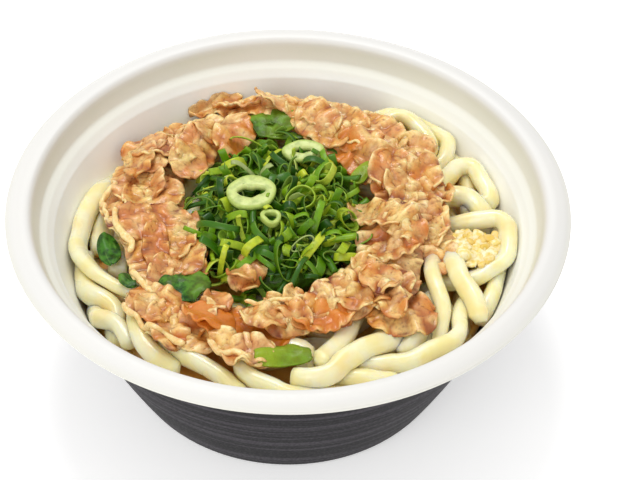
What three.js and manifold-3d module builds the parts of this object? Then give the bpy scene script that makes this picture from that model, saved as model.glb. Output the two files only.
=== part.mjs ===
// A take-away bowl of udon: thick white noodles under a ring of thin simmered
// beef slices, with a heap of chopped spring onion in the middle.
// Millimetres, +Z up. The origin is the centre of the bowl's foot, where it
// stands, and -Y is the side that faces a viewer.
import * as THREE from "three";
import { mergeVertices } from "three/addons/utils/BufferGeometryUtils.js";
import Module from "manifold-3d";

const wasm = await Module();
wasm.setup();

// ---------------------------------------------------------------- dimensions
const SEGMENTS = 36; // round the bowl and the noodles
const GAP = 0.3; // between pieces that touch

const BOWL = {
  rimRadius: 95,
  height: 74,
  sheet: 1.6, // thickness of the foamed sheet
  lipDrop: 2, // how far the rim's outer edge hangs below its crest
  crestRadius: 89,
  mouthRadius: 86.4, // inner edge of the rim
  lidWallBottom: 84.2, // radius where the lid's seat begins
  lidWallDepth: 8.6, // below the crest
  seatRadius: 81.6,
  seatDepth: 10,
  stepRadius: 79.6,
  stepDepth: 13.2,
  footRadius: 54,
  footRing: 5,
  footRecess: 1.6,
  cornerRadius: 9,
  wallBulge: 2.2,
};

const NOODLES = {
  middle: 53.2, // height of the bed in the middle
  edge: 44, // height where it meets the wall
  rightEdge: 53, // the same on the right, where more of them are heaped
  shoulder: 62, // radius up to which the bed stays nearly level
  backRise: 6, // the bed is pushed up against the back wall
  strand: 7.5, // thickness of one noodle
};

const ONIONS = { x: -4, y: 11, radiusX: 32, radiusY: 38, foot: 52, top: 65.5 };

const MEAT = { thickness: 2.2, relief: 1.5 };

// ------------------------------------------------------------------- helpers
const radians = THREE.MathUtils.degToRad;

// Smooth uneven value between about -1 and 1 at a place, for a given seed.
function uneven(x, y, seed) {
  const a = Math.sin(x * 1.7 + y * 0.9 + seed * 2.3);
  const b = Math.sin(x * -0.8 + y * 1.9 + seed * 4.1 + a);
  const c = Math.sin(x * 3.1 - y * 2.7 + seed * 1.3 + b);
  return (a + b + 0.6 * c) / 2.6;
}

// A closed mesh's geometry as a manifold solid.
function solidOf(geometry) {
  const bare = new THREE.BufferGeometry();
  bare.setAttribute("position", geometry.getAttribute("position"));
  if (geometry.index) bare.setIndex(geometry.index);
  const merged = mergeVertices(bare, 1e-4);
  const mesh = new wasm.Mesh({
    numProp: 3,
    vertProperties: merged.getAttribute("position").array,
    triVerts: new Uint32Array(merged.index.array),
  });
  const solid = new wasm.Manifold(mesh);
  if (solid.volume() > 0) return solid;
  for (let i = 0; i < mesh.triVerts.length; i += 3) {
    [mesh.triVerts[i + 1], mesh.triVerts[i + 2]] = [mesh.triVerts[i + 2], mesh.triVerts[i + 1]];
  }
  return new wasm.Manifold(mesh);
}

// The largest body that is left of a solid once others have cut it.
function cutBy(solid, others) {
  let left = solid;
  for (const other of others) left = left.subtract(other);
  const bodies = left.decompose();
  bodies.sort((a, b) => b.volume() - a.volume());
  return bodies[0];
}

function geometryOf(solid) {
  const mesh = solid.getMesh();
  const stride = mesh.numProp;
  const points = new Float32Array(mesh.numVert * 3);
  for (let i = 0; i < mesh.numVert; i += 1) {
    points.set(mesh.vertProperties.subarray(i * stride, i * stride + 3), i * 3);
  }
  const geometry = new THREE.BufferGeometry();
  geometry.setAttribute("position", new THREE.BufferAttribute(points, 3));
  geometry.setIndex(new THREE.BufferAttribute(mesh.triVerts, 1));
  geometry.computeVertexNormals();
  return geometry;
}

// A closed sheet between two grids of points with the same rows and columns.
function sheetGeometry(top, bottom, columns, rows) {
  const points = [...top, ...bottom].flatMap((p) => [p.x, p.y, p.z]);
  const faces = [];
  const under = top.length;
  const at = (i, j) => j * columns + i;
  for (let j = 0; j < rows - 1; j += 1) {
    for (let i = 0; i < columns - 1; i += 1) {
      const [a, b, c, d] = [at(i, j), at(i + 1, j), at(i + 1, j + 1), at(i, j + 1)];
      faces.push(a, b, c, a, c, d);
      faces.push(under + a, under + c, under + b, under + a, under + d, under + c);
    }
  }
  const rim = [];
  for (let i = 0; i < columns - 1; i += 1) rim.push(at(i, 0));
  for (let j = 0; j < rows - 1; j += 1) rim.push(at(columns - 1, j));
  for (let i = columns - 1; i > 0; i -= 1) rim.push(at(i, rows - 1));
  for (let j = rows - 1; j > 0; j -= 1) rim.push(at(0, j));
  rim.forEach((a, k) => {
    const b = rim[(k + 1) % rim.length];
    faces.push(a, under + a, b, b, under + a, under + b);
  });
  const geometry = new THREE.BufferGeometry();
  geometry.setAttribute("position", new THREE.Float32BufferAttribute(points, 3));
  geometry.setIndex(faces);
  return geometry;
}

// A closed body of stacked rings, with a point at each end.
function ringsGeometry(low, rings, high) {
  const points = [low, ...rings.flat(), high].flatMap((p) => [p.x, p.y, p.z]);
  const count = rings[0].length;
  const last = 1 + rings.length * count;
  const faces = [];
  for (let i = 0; i < count; i += 1) {
    const next = (i + 1) % count;
    faces.push(0, 1 + next, 1 + i);
    for (let k = 0; k < rings.length - 1; k += 1) {
      const a = 1 + k * count;
      const b = a + count;
      faces.push(a + i, a + next, b + next, a + i, b + next, b + i);
    }
    faces.push(last, last - count + i, last - count + next);
  }
  const geometry = new THREE.BufferGeometry();
  geometry.setAttribute("position", new THREE.Float32BufferAttribute(points, 3));
  geometry.setIndex(faces);
  return geometry;
}

// ---------------------------------------------------------------------- bowl
// The wall runs in a shallow curve from the foot's corner to the step under
// the lid's seat. `shift` moves it inwards by the sheet's thickness.
function wallRadius(height, shift = 0) {
  const low = BOWL.cornerRadius * 0.6;
  const high = BOWL.height - BOWL.stepDepth;
  const share = THREE.MathUtils.clamp((height - low) / (high - low), 0, 1);
  const straight = BOWL.footRadius + 4 + share * (BOWL.stepRadius - BOWL.footRadius - 4);
  return straight + BOWL.wallBulge * 4 * share * (1 - share) * 0.5 + shift;
}

// Heights of the wall's own rings, from its foot up to the step.
function wallHeights() {
  const low = BOWL.cornerRadius * 0.6;
  const high = BOWL.height - BOWL.stepDepth;
  return [0.14, 0.4, 0.7].map((share) => low + share * (high - low));
}

function bowlGeometry() {
  const { height, sheet } = BOWL;
  const down = (depth) => height - depth;
  const wallTop = down(BOWL.stepDepth);
  const wallLow = BOWL.cornerRadius * 0.6;
  const floor = BOWL.footRecess + sheet;
  const outside = [
    [0, BOWL.footRecess],
    [BOWL.footRadius - BOWL.footRing, BOWL.footRecess],
    [BOWL.footRadius - BOWL.footRing + 1, 0],
    [BOWL.footRadius, 0],
    [BOWL.footRadius + 3, 1.4],
    [BOWL.footRadius + 5.6, wallLow],
    ...wallHeights().map((h) => [wallRadius(h, sheet), h]),
    [BOWL.stepRadius + sheet, wallTop - 1],
    [BOWL.seatRadius + sheet, down(BOWL.seatDepth) - sheet],
    [BOWL.lidWallBottom + sheet, down(BOWL.lidWallDepth) - sheet],
    [BOWL.mouthRadius + sheet, down(2.4)],
    [BOWL.rimRadius - 2, down(BOWL.lipDrop + 0.6)],
    [BOWL.rimRadius - 1, down(BOWL.lipDrop + 1.8)],
  ];
  const inside = [
    [BOWL.rimRadius, down(BOWL.lipDrop + 1.4)],
    [BOWL.rimRadius, down(BOWL.lipDrop)],
    [BOWL.rimRadius - 2.6, down(0.9)],
    [BOWL.crestRadius, height],
    [BOWL.mouthRadius + 0.6, down(0.5)],
    [BOWL.mouthRadius, down(1.6)],
    [BOWL.lidWallBottom, down(BOWL.lidWallDepth)],
    [BOWL.seatRadius, down(BOWL.seatDepth)],
    [BOWL.stepRadius, wallTop],
    ...wallHeights().map((h) => [wallRadius(h), h]).reverse(),
    [BOWL.footRadius - 2, floor + 0.8],
    [BOWL.footRadius - 8, floor],
    [0, floor],
  ];
  const profile = [...outside, ...inside].map(([r, z]) => new THREE.Vector2(r, z));
  return new THREE.LatheGeometry(profile, SEGMENTS).rotateX(Math.PI / 2);
}

// The room inside the bowl, a gap away from its wall.
function bowlRoom() {
  const floor = BOWL.footRecess + BOWL.sheet + GAP;
  const brim = BOWL.stepRadius - GAP - 0.1;
  const outline = [
    [0, floor],
    [BOWL.footRadius - 8, floor],
    [BOWL.footRadius - 2.5, floor + 0.9],
    ...wallHeights().map((h) => [wallRadius(h) - GAP - 0.1, h]),
    [brim, BOWL.height - BOWL.stepDepth],
    [brim, BOWL.height],
    [0, BOWL.height],
  ];
  const profile = outline.map(([r, z]) => new THREE.Vector2(r, z));
  return solidOf(new THREE.LatheGeometry(profile, SEGMENTS).rotateX(Math.PI / 2));
}

// ------------------------------------------------------------------- noodles
// Height of the bed of noodles before anything lies on it.
function bedHeight(x, y) {
  const radius = Math.hypot(x, y);
  const fall = THREE.MathUtils.smoothstep(radius, NOODLES.shoulder, 77);
  const edge = THREE.MathUtils.lerp(NOODLES.edge, NOODLES.rightEdge, THREE.MathUtils.smoothstep(x, 0, 55));
  const back = NOODLES.backRise * THREE.MathUtils.smoothstep(x * 0.55 + y, 10, 70);
  return NOODLES.middle - fall * (NOODLES.middle - edge) + back;
}

// Strand-like ridges that wind round the bed, most of all near its edge.
function strandRelief(x, y) {
  const angle = Math.atan2(y, x);
  const radius = Math.hypot(x, y);
  const wind = (radius + 5 * Math.sin(3 * angle + 1) + 3 * Math.sin(7 * angle)) / NOODLES.strand;
  const ridge = Math.abs(Math.sin(Math.PI * wind)) - 0.6;
  return ridge * 2.4 + 1.2 * uneven(x / 16, y / 16, 5);
}

function noodleBed() {
  const outside = BOWL.rimRadius - 10;
  const reach = BOWL.stepRadius - 2;
  const shares = [1, 0.94, 0.87, 0.78, 0.69, 0.6, 0.5, 0.38, 0.24, 0.1];
  const spokes = Array.from({ length: SEGMENTS }, (_, k) => (k / SEGMENTS) * 2 * Math.PI);
  const ring = (radius, heightAt) =>
    spokes.map((angle) => {
      const [x, y] = [radius * Math.cos(angle), radius * Math.sin(angle)];
      return new THREE.Vector3(x, y, heightAt(x, y));
    });
  const surface = (x, y) => bedHeight(x, y) + strandRelief(x, y);
  const rings = [
    ring(outside, () => 0),
    ring(outside, (x, y) => bedHeight(x, y) - 2),
    ...shares.map((share) => ring(share * reach, surface)),
  ];
  const low = new THREE.Vector3(0, 0, 0);
  const high = new THREE.Vector3(0, 0, NOODLES.middle);
  return solidOf(ringsGeometry(low, rings, high));
}

// -------------------------------------------------------------------- ground
// What lies in the bowl so far, as a height for each cell of a square grid.
const ground = {
  cell: 2,
  half: 80,
  size: 81,
  heights: [],
  fill() {
    for (let j = 0; j < this.size; j += 1) {
      for (let i = 0; i < this.size; i += 1) {
        this.heights.push(bedHeight(i * this.cell - this.half, j * this.cell - this.half) + 1);
      }
    }
  },
  index(x, y) {
    const clampCell = (v) => THREE.MathUtils.clamp(Math.round((v + this.half) / this.cell), 0, this.size - 1);
    return clampCell(y) * this.size + clampCell(x);
  },
  // Average height round a place: a limp slice spans small steps.
  under(x, y, reach = 4) {
    let sum = 0;
    for (let k = 0; k < 12; k += 1) {
      const angle = (k / 12) * 2 * Math.PI;
      const r = reach * (k % 2 ? 1 : 0.5);
      sum += this.heights[this.index(x + r * Math.cos(angle), y + r * Math.sin(angle))];
    }
    return sum / 12;
  },
  raise(x, y, z) {
    const cell = this.index(x, y);
    this.heights[cell] = Math.max(this.heights[cell], z);
  },
};
ground.fill();

// ---------------------------------------------------------------------- meat
// A thin slice laid on what is there. It lies along `heading`, turns by `bend`
// over its length, and its edges are ruffled more than its middle.
class Slice {
  constructor(name, seed, spec) {
    Object.assign(this, { lift: 0.4, ruffle: 1.6, waves: 2.5, bend: 0, arch: 0, tilt: 0 }, spec);
    this.name = name;
    this.seed = seed;
    this.columns = Math.max(9, Math.round(this.length / 5));
    this.rows = Math.max(5, Math.round(this.width / 4.2));
    this.lie();
  }

  // Where a point of the slice falls in plan. u runs -1..1 along, v across.
  plan(u, v, grow = 0) {
    const ragged = 1 + 0.16 * uneven(u * 2.2, v, this.seed) + 0.06 * uneven(u * 6, v, this.seed + 3);
    const taper = 0.5 + 0.5 * Math.sqrt(1 - 0.94 * u * u);
    const across = v * (this.width / 2) * taper * ragged + grow * v;
    const along = u * (this.length / 2) * (1 + 0.05 * uneven(v * 2, u, this.seed + 9)) + grow * u;
    const turn = radians(this.heading) + radians(this.bend) * u * 0.5;
    const swing = radians(this.bend) * u * 0.25;
    const spine = radians(this.heading) + swing;
    return {
      x: this.x + along * Math.cos(spine) - across * Math.sin(turn),
      y: this.y + along * Math.sin(spine) + across * Math.cos(turn),
    };
  }

  rise(u, v) {
    const phase = 2 * Math.PI * (this.waves * u * 0.5 + 0.22 * uneven(u, v, this.seed + 1));
    const slant = 1.4 * v * Math.sin(this.seed * 1.7);
    const edge = 0.35 + 0.65 * Math.abs(v) ** 1.5;
    const wave = this.ruffle * edge * (0.5 + 0.5 * Math.sin(phase + slant));
    const lump = MEAT.relief * 0.5 * (1 + uneven(u * 3.4, v * 2.2, this.seed + 6));
    return wave + lump + this.arch * (1 - v * v) + this.tilt * v;
  }

  // Heights are settled once, when the slice is laid on what is below it.
  lie() {
    this.top = new Map();
    for (let j = 0; j < this.rows; j += 1) {
      for (let i = 0; i < this.columns; i += 1) {
        const [u, v] = [(2 * i) / (this.columns - 1) - 1, (2 * j) / (this.rows - 1) - 1];
        const { x, y } = this.plan(u, v);
        this.top.set(j * this.columns + i, ground.under(x, y) + this.lift + this.rise(u, v) + MEAT.thickness);
      }
    }
    this.cover();
  }

  // Raises the ground to the slice's top, so that the next one lies on it.
  cover() {
    const steps = 3;
    for (let j = 0; j < (this.rows - 1) * steps; j += 1) {
      for (let i = 0; i < (this.columns - 1) * steps; i += 1) {
        const [a, b] = [i / steps, j / steps];
        const [u, v] = [(2 * a) / (this.columns - 1) - 1, (2 * b) / (this.rows - 1) - 1];
        const { x, y } = this.plan(u, v);
        ground.raise(x, y, this.top.get(Math.round(b) * this.columns + Math.round(a)));
      }
    }
  }

  solid(grow = 0) {
    const { columns, rows } = this;
    const middle = [];
    for (let j = 0; j < rows; j += 1) {
      for (let i = 0; i < columns; i += 1) {
        const { x, y } = this.plan((2 * i) / (columns - 1) - 1, (2 * j) / (rows - 1) - 1, grow);
        middle.push(new THREE.Vector3(x, y, this.top.get(j * columns + i) - MEAT.thickness / 2));
      }
    }
    const near = (i, j) =>
      middle[THREE.MathUtils.clamp(j, 0, rows - 1) * columns + THREE.MathUtils.clamp(i, 0, columns - 1)];
    const normals = middle.map((_, k) => {
      const [i, j] = [k % columns, Math.floor(k / columns)];
      const along = near(i + 1, j).clone().sub(near(i - 1, j));
      const across = near(i, j + 1).clone().sub(near(i, j - 1));
      return along.cross(across).normalize();
    });
    const thin = (k) => {
      const [i, j] = [k % columns, Math.floor(k / columns)];
      const onEdge = i === 0 || j === 0 || i === columns - 1 || j === rows - 1;
      return (MEAT.thickness * (onEdge ? 0.6 : 1)) / 2 + grow;
    };
    const top = middle.map((p, k) => p.clone().addScaledVector(normals[k], thin(k)));
    const bottom = middle.map((p, k) => p.clone().addScaledVector(normals[k], -thin(k)));
    return solidOf(sheetGeometry(top, bottom, columns, rows));
  }
}

// Every slice that shows, in the order in which they were laid.
const SLICES = {
  left_outer: { x: -52, y: 22, length: 54, width: 27, heading: 96, bend: -30, ruffle: 1.2, waves: 3 },
  left_back: { x: -46, y: 42, length: 30, width: 19, heading: 40, bend: -20, ruffle: 2, waves: 3 },
  left_front: { x: -43, y: -9, length: 38, width: 27, heading: -62, bend: 30, ruffle: 1.6, waves: 2 },
  back_outer: { x: -18, y: 64, length: 28, width: 14, heading: -18, bend: -20, ruffle: 2.6, waves: 2 },
  back_long: { x: 23, y: 50, length: 66, width: 17, heading: -36, bend: -30, ruffle: 2, waves: 3 },
  back_inner: { x: 20, y: 39, length: 50, width: 12, heading: -42, bend: -26, ruffle: 1.6, waves: 4 },
  back_curl: { x: -33, y: 41, length: 25, width: 12, heading: 72, bend: 20, arch: 2.8, ruffle: 2.2, waves: 2 },
  back_flap: { x: -21, y: 46, length: 18, width: 13, heading: 66, bend: 10, arch: 2.6, ruffle: 2.2, waves: 2 },
  right_back: { x: 42, y: 15, length: 30, width: 23, heading: -68, bend: -20, ruffle: 2.6, waves: 4 },
  right_outer: { x: 44, y: 0, length: 24, width: 20, heading: -64, bend: -20, ruffle: 2.4, waves: 4 },
  right_tab: { x: 38, y: -38, length: 22, width: 18, heading: 8, bend: 8, ruffle: 1.4, waves: 2 },
  right_front: { x: 34, y: -16, length: 42, width: 21, heading: -88, bend: -34, arch: 1.6, ruffle: 2.6, waves: 4 },
  right_inner: { x: 20, y: -24, length: 24, width: 9, heading: 52, bend: -20, ruffle: 1.4, waves: 2 },
  front_left: { x: -37, y: -42, length: 36, width: 18, heading: -40, bend: 24, ruffle: 2.2, waves: 3 },
  front_amber: { x: -13, y: -46, length: 30, width: 18, heading: -6, bend: 16, ruffle: 1.8, waves: 2 },
  front_fringe: { x: -13, y: -56, length: 22, width: 8, heading: -16, bend: 10, ruffle: 1.6, waves: 3 },
  front_band: { x: 12, y: -38, length: 52, width: 15, heading: 24, bend: 30, arch: 1.6, ruffle: 2.4, waves: 5 },
  inner_fold: { x: -13, y: -21, length: 18, width: 10, heading: 78, bend: 10, arch: 2.4, ruffle: 1.2, waves: 2 },
};

const slices = Object.entries(SLICES).map(([name, spec], k) => new Slice(`meat_${name}`, k + 1, spec));

// ------------------------------------------------------------ onion and greens
// A lumpy heap, from its foot among the slices to its uneven top.
function onionHeap() {
  const around = 22;
  const levels = [
    [0.86, 0],
    [0.98, 0.3],
    [0.93, 0.55],
    [0.8, 0.74],
    [0.6, 0.88],
    [0.38, 0.96],
    [0.17, 1],
  ];
  const rings = levels.map(([share, level]) =>
    Array.from({ length: around }, (_, k) => {
      const angle = (k / around) * 2 * Math.PI;
      const bump = 1 + 0.07 * uneven(3 * Math.cos(angle) + level, 3 * Math.sin(angle), 2);
      const x = ONIONS.x + ONIONS.radiusX * share * bump * Math.cos(angle);
      const y = ONIONS.y + ONIONS.radiusY * share * bump * Math.sin(angle);
      const lump = level > 0 ? 1.3 * uneven(x / 5, y / 5, 8) : 0;
      return new THREE.Vector3(x, y, ONIONS.foot + level * (ONIONS.top - ONIONS.foot) + lump - 1);
    }),
  );
  const low = new THREE.Vector3(ONIONS.x, ONIONS.y, ONIONS.foot - 1);
  const high = new THREE.Vector3(ONIONS.x, ONIONS.y, ONIONS.top - 1);
  return solidOf(ringsGeometry(low, rings, high));
}

// A slice across an onion stem: a ring with a slit-like hole.
function onionRing({ x, y, z, long, short, thick, hole, spin, lean, grow = 0 }) {
  const outline = new THREE.Shape();
  const around = 16;
  for (let k = 0; k < around; k += 1) {
    const angle = (k / around) * 2 * Math.PI;
    const wobble = 1 + 0.04 * uneven(2 * Math.cos(angle), 2 * Math.sin(angle), 4);
    const px = (long / 2 + grow) * wobble * Math.cos(angle);
    const py = (short / 2 + grow) * wobble * Math.sin(angle);
    if (k === 0) outline.moveTo(px, py);
    else outline.lineTo(px, py);
  }
  outline.closePath();
  if (grow === 0) {
    const slit = new THREE.Path();
    slit.absellipse(0, 0, (long / 2) * hole, (short / 2) * hole * 0.55, 0, 2 * Math.PI, true);
    outline.holes.push(slit);
  }
  const geometry = new THREE.ExtrudeGeometry(outline, {
    depth: thick + 2 * grow,
    bevelEnabled: false,
    curveSegments: 6,
  });
  geometry.translate(0, 0, -grow);
  geometry.rotateZ(radians(spin));
  geometry.rotateX(radians(lean));
  geometry.translate(x, y, z);
  return solidOf(geometry);
}

// A cut length of green leaf: a flattened tube section, solid here, arched
// across its width and lying along `heading`.
function leafPiece({ x, y, z, length, width, thick, heading, arch, slope = 0, grow = 0 }) {
  const columns = 6;
  const rows = 4;
  const top = [];
  const bottom = [];
  for (let j = 0; j < rows; j += 1) {
    for (let i = 0; i < columns; i += 1) {
      const [u, v] = [(2 * i) / (columns - 1) - 1, (2 * j) / (rows - 1) - 1];
      const round = 1 - 0.18 * Math.abs(v) ** 3;
      const px = u * (length / 2 + grow) * round;
      const py = v * (width / 2 + grow) * (1 - 0.12 * Math.abs(u) ** 3);
      const rise = arch * (1 - v * v) + 0.4 * uneven(u * 2, v * 2, x);
      top.push(new THREE.Vector3(px, py, rise + thick + grow));
      bottom.push(new THREE.Vector3(px, py, rise - grow));
    }
  }
  const geometry = sheetGeometry(top, bottom, columns, rows);
  geometry.rotateY(radians(slope));
  geometry.rotateZ(radians(heading));
  geometry.translate(x, y, z);
  return solidOf(geometry);
}

const RINGS = {
  onion_ring_large: { x: -13, y: 9, long: 17, short: 15, thick: 2, hole: 0.52, spin: 24, lean: 6 },
  onion_ring_back: { x: 4, y: 35, long: 15, short: 9, thick: 2, hole: 0.4, spin: 5, lean: 20 },
};

const LEAVES = {
  leaf_back: { x: -8, y: 53, length: 15, width: 13, thick: 1.6, heading: 30, arch: 2.4 },
  leaf_back_strip: { x: -2, y: 47, length: 15, width: 5, thick: 1.4, heading: 2, arch: 1 },
  leaf_left: { x: -61, y: -9, length: 16, width: 9, thick: 1.5, heading: -76, arch: 1.2 },
  leaf_left_front: { x: -34, y: -27, length: 15, width: 13, thick: 1.5, heading: -18, arch: 1.6 },
  leaf_left_knot: { x: -53, y: -25, length: 7, width: 5, thick: 2.6, heading: -40, arch: 0.8 },
  leaf_front: { x: 0, y: -58, length: 18, width: 9, thick: 1.8, heading: 6, arch: 2.2 },
  leaf_inner_strip: { x: -5, y: -35, length: 15, width: 4.4, thick: 1.6, heading: 3, arch: 0.8 },
  leaf_right: { x: 25, y: 26, length: 11, width: 7, thick: 1.4, heading: 60, arch: 1.2 },
};

const GINGER = { x: 65, y: -7, radius: 9, height: 6.5 };

// A low lumpy mound of grated ginger.
function gingerMound(z, grow = 0) {
  const around = 14;
  const levels = [
    [0.9, 0],
    [1, 0.35],
    [0.75, 0.75],
    [0.4, 0.96],
  ];
  const rings = levels.map(([share, level]) =>
    Array.from({ length: around }, (_, k) => {
      const angle = (k / around) * 2 * Math.PI;
      const bump = 1 + 0.12 * uneven(2 * Math.cos(angle), 2 * Math.sin(angle), level);
      const reach = GINGER.radius * share * bump + grow;
      const height = z + level * GINGER.height + (level > 0.5 ? grow : -grow);
      return new THREE.Vector3(GINGER.x + reach * Math.cos(angle), GINGER.y + reach * Math.sin(angle), height);
    }),
  );
  const low = new THREE.Vector3(GINGER.x, GINGER.y, z - grow);
  const high = new THREE.Vector3(GINGER.x, GINGER.y, z + GINGER.height + grow);
  return solidOf(ringsGeometry(low, rings, high));
}

// ------------------------------------------------------------------ assembly
const COLOURS = {
  bowl: 0xf6f3ea,
  noodles: 0xf0e6bd,
  meat: 0xcb8d63,
  onion: 0x4f9a2e,
  ring: 0xd9e3b4,
  leaf: 0x2f6427,
  ginger: 0xf0d68a,
};

function piece(name, solid, colour, roughness) {
  const material = new THREE.MeshStandardMaterial({ color: colour, roughness, metalness: 0 });
  const mesh = new THREE.Mesh(geometryOf(solid), material);
  mesh.name = name;
  return mesh;
}

const udon = new THREE.Group();
udon.add(piece("bowl", solidOf(bowlGeometry()), COLOURS.bowl, 0.45));

// Small toppings lie on whatever is under them.
const onionTop = (x, y) => {
  const [dx, dy] = [(x - ONIONS.x) / ONIONS.radiusX, (y - ONIONS.y) / ONIONS.radiusY];
  const out = Math.hypot(dx, dy);
  return ONIONS.foot - 1 + (ONIONS.top - ONIONS.foot) * Math.sqrt(Math.max(0, 1 - out * out)) + 1;
};
const restHeight = (x, y) => Math.max(ground.under(x, y, 3), onionTop(x, y));
const toppings = [];
for (const [name, spec] of Object.entries(RINGS)) {
  const z = restHeight(spec.x, spec.y) + 0.6;
  toppings.push({ name, colour: COLOURS.ring, make: (grow) => onionRing({ ...spec, z, grow }) });
}
for (const [name, spec] of Object.entries(LEAVES)) {
  const z = restHeight(spec.x, spec.y) - 0.4;
  toppings.push({ name, colour: COLOURS.leaf, make: (grow) => leafPiece({ ...spec, z, grow }) });
}
const gingerFoot = ground.under(GINGER.x, GINGER.y) - 1.5;
toppings.push({ name: "ginger", colour: COLOURS.ginger, make: (grow) => gingerMound(gingerFoot, grow) });

// What is on top keeps its shape, and what is below gives way to it.
const cleared = toppings.map(({ make }) => make(GAP));
toppings.forEach(({ name, colour, make }, k) => {
  udon.add(piece(name, cutBy(make(0), cleared.slice(k + 1)), colour, 0.4));
});

const above = [...cleared];
const room = bowlRoom();
for (const slice of [...slices].reverse()) {
  udon.add(piece(slice.name, cutBy(slice.solid().intersect(room), above), COLOURS.meat, 0.5));
  above.push(slice.solid(GAP), slice.solid());
}

const heap = cutBy(onionHeap(), above);
udon.add(piece("onion_heap", heap, COLOURS.onion, 0.4));
above.push(onionHeap(), onionHeap().translate([0, 0, -GAP]));
udon.add(piece("noodles", cutBy(noodleBed().intersect(room), above), COLOURS.noodles, 0.4));

export default udon;
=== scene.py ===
import math

import bmesh
import bpy
import numpy as np
from mathutils import Matrix, Vector
from mathutils.bvhtree import BVHTree


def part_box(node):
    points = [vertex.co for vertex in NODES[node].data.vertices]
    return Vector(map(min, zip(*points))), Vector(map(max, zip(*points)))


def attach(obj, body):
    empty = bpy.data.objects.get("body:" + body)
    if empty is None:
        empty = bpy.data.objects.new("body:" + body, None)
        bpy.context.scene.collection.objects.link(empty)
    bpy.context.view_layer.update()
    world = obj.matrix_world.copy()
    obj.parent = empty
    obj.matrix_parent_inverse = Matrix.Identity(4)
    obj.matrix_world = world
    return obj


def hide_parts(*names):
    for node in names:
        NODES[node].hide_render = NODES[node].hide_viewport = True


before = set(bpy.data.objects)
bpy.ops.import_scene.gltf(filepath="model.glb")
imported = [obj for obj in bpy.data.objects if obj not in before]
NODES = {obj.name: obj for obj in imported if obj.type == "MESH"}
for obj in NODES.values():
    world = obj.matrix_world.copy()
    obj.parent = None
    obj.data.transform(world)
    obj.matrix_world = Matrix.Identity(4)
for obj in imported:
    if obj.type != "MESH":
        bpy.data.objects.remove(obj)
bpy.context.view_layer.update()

MM = 0.001


# ------------------------------------------------------------------ the camera
# A long lens from the front, looking down at about 44 degrees.
CAMERA = {
    "aim": (0.0, 0.0, 72.0),  # the middle of the rim
    "elevation": 43.62,
    "distance": 607.4,
    "lens": 101.25,
    "sensor": 36.0,
    "across": -31.17,  # where the aim falls in the frame, in 640ths of its width
    "up": 41.18,
    "roll": 1.2,
}


def make_camera():
    data = bpy.data.cameras.new("camera")
    data.lens = CAMERA["lens"]
    data.sensor_width = CAMERA["sensor"]
    data.clip_start = 0.02
    data.clip_end = 20.0
    camera = bpy.data.objects.new("camera", data)
    bpy.context.scene.collection.objects.link(camera)
    elevation = math.radians(CAMERA["elevation"])
    roll = math.radians(CAMERA["roll"])
    forward = Vector((0, math.cos(elevation), -math.sin(elevation)))
    level = Vector((1, 0, 0))
    upright = level.cross(forward)
    right = level * math.cos(roll) + upright * math.sin(roll)
    up = -level * math.sin(roll) + upright * math.cos(roll)
    per_unit = CAMERA["distance"] * CAMERA["sensor"] / (640 * CAMERA["lens"])
    offset = right * (CAMERA["across"] * per_unit) + up * (CAMERA["up"] * per_unit)
    place = Vector(CAMERA["aim"]) - forward * CAMERA["distance"] - offset
    facing = Matrix((right, up, -forward)).transposed().to_4x4()
    camera.matrix_world = Matrix.Translation(place * MM) @ facing
    bpy.context.scene.camera = camera


# ------------------------------------------------------------- numbers and noise
CELLS = 32
LATTICE = np.random.default_rng(11).uniform(-1, 1, (CELLS, CELLS, CELLS)).astype(np.float32)


def noise(points, scale, seed=0):
    """Smooth noise between -1 and 1 at points (..., 3), with bumps about `scale` wide."""
    shape = np.shape(points)[:-1]
    p = np.asarray(points, float).reshape(-1, 3) / scale + seed * np.array([7.31, 3.77, 5.13])
    low = np.floor(p).astype(int)
    f = p - low
    f = f * f * (3 - 2 * f)
    total = np.zeros(len(p))
    for corner in range(8):
        step = np.array([corner & 1, corner >> 1 & 1, corner >> 2 & 1])
        weight = np.prod(np.where(step, f, 1 - f), axis=1)
        i, j, k = ((low + step) % CELLS).T
        total += weight * LATTICE[i, j, k]
    return total.reshape(shape)


def layered(points, scale, octaves=3, seed=0):
    """Noise with finer noise on it, still about -1 to 1."""
    total = np.zeros(np.shape(points)[:-1])
    strength = 1.0
    for octave in range(octaves):
        total += strength * noise(points, scale / 2**octave, seed + octave * 1.7)
        strength *= 0.5
    return total / 1.6


def ease(x, low, high):
    t = np.clip((np.asarray(x, float) - low) / (high - low), 0, 1)
    return t * t * (3 - 2 * t)


def curve_through(points, step):
    """Places every `step` along a smooth curve through the points."""
    p = np.asarray(points, float)
    ends = np.vstack([2 * p[0] - p[1], p, 2 * p[-1] - p[-2]])
    fine = []
    t = np.linspace(0, 1, 24, endpoint=False)[:, None]
    for a, b, c, d in zip(ends, ends[1:], ends[2:], ends[3:]):
        square, cube = (2 * a - 5 * b + 4 * c - d) * t**2, (3 * b - a - 3 * c + d) * t**3
        fine.append(0.5 * (2 * b + (c - a) * t + square + cube))
    fine = np.vstack(fine + [p[-1:]])
    walked = np.concatenate([[0], np.cumsum(np.linalg.norm(np.diff(fine, axis=0), axis=1))])
    count = max(3, int(round(walked[-1] / step)) + 1)
    at = np.linspace(0, walked[-1], count)
    return np.stack([np.interp(at, walked, fine[:, k]) for k in range(3)], axis=1)


def circle(count):
    """Angles once round, in `count` even steps."""
    return np.linspace(0, 2 * np.pi, count, endpoint=False)


def unit_grid(rows, columns):
    """Two grids of numbers from -1 to 1: one rises along the rows and one down the columns."""
    return np.meshgrid(np.linspace(-1, 1, columns), np.linspace(-1, 1, rows))


def box_mm(node):
    """The low and high corners of a node's box, in millimetres."""
    return [np.array(corner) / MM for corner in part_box(node)]


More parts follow.
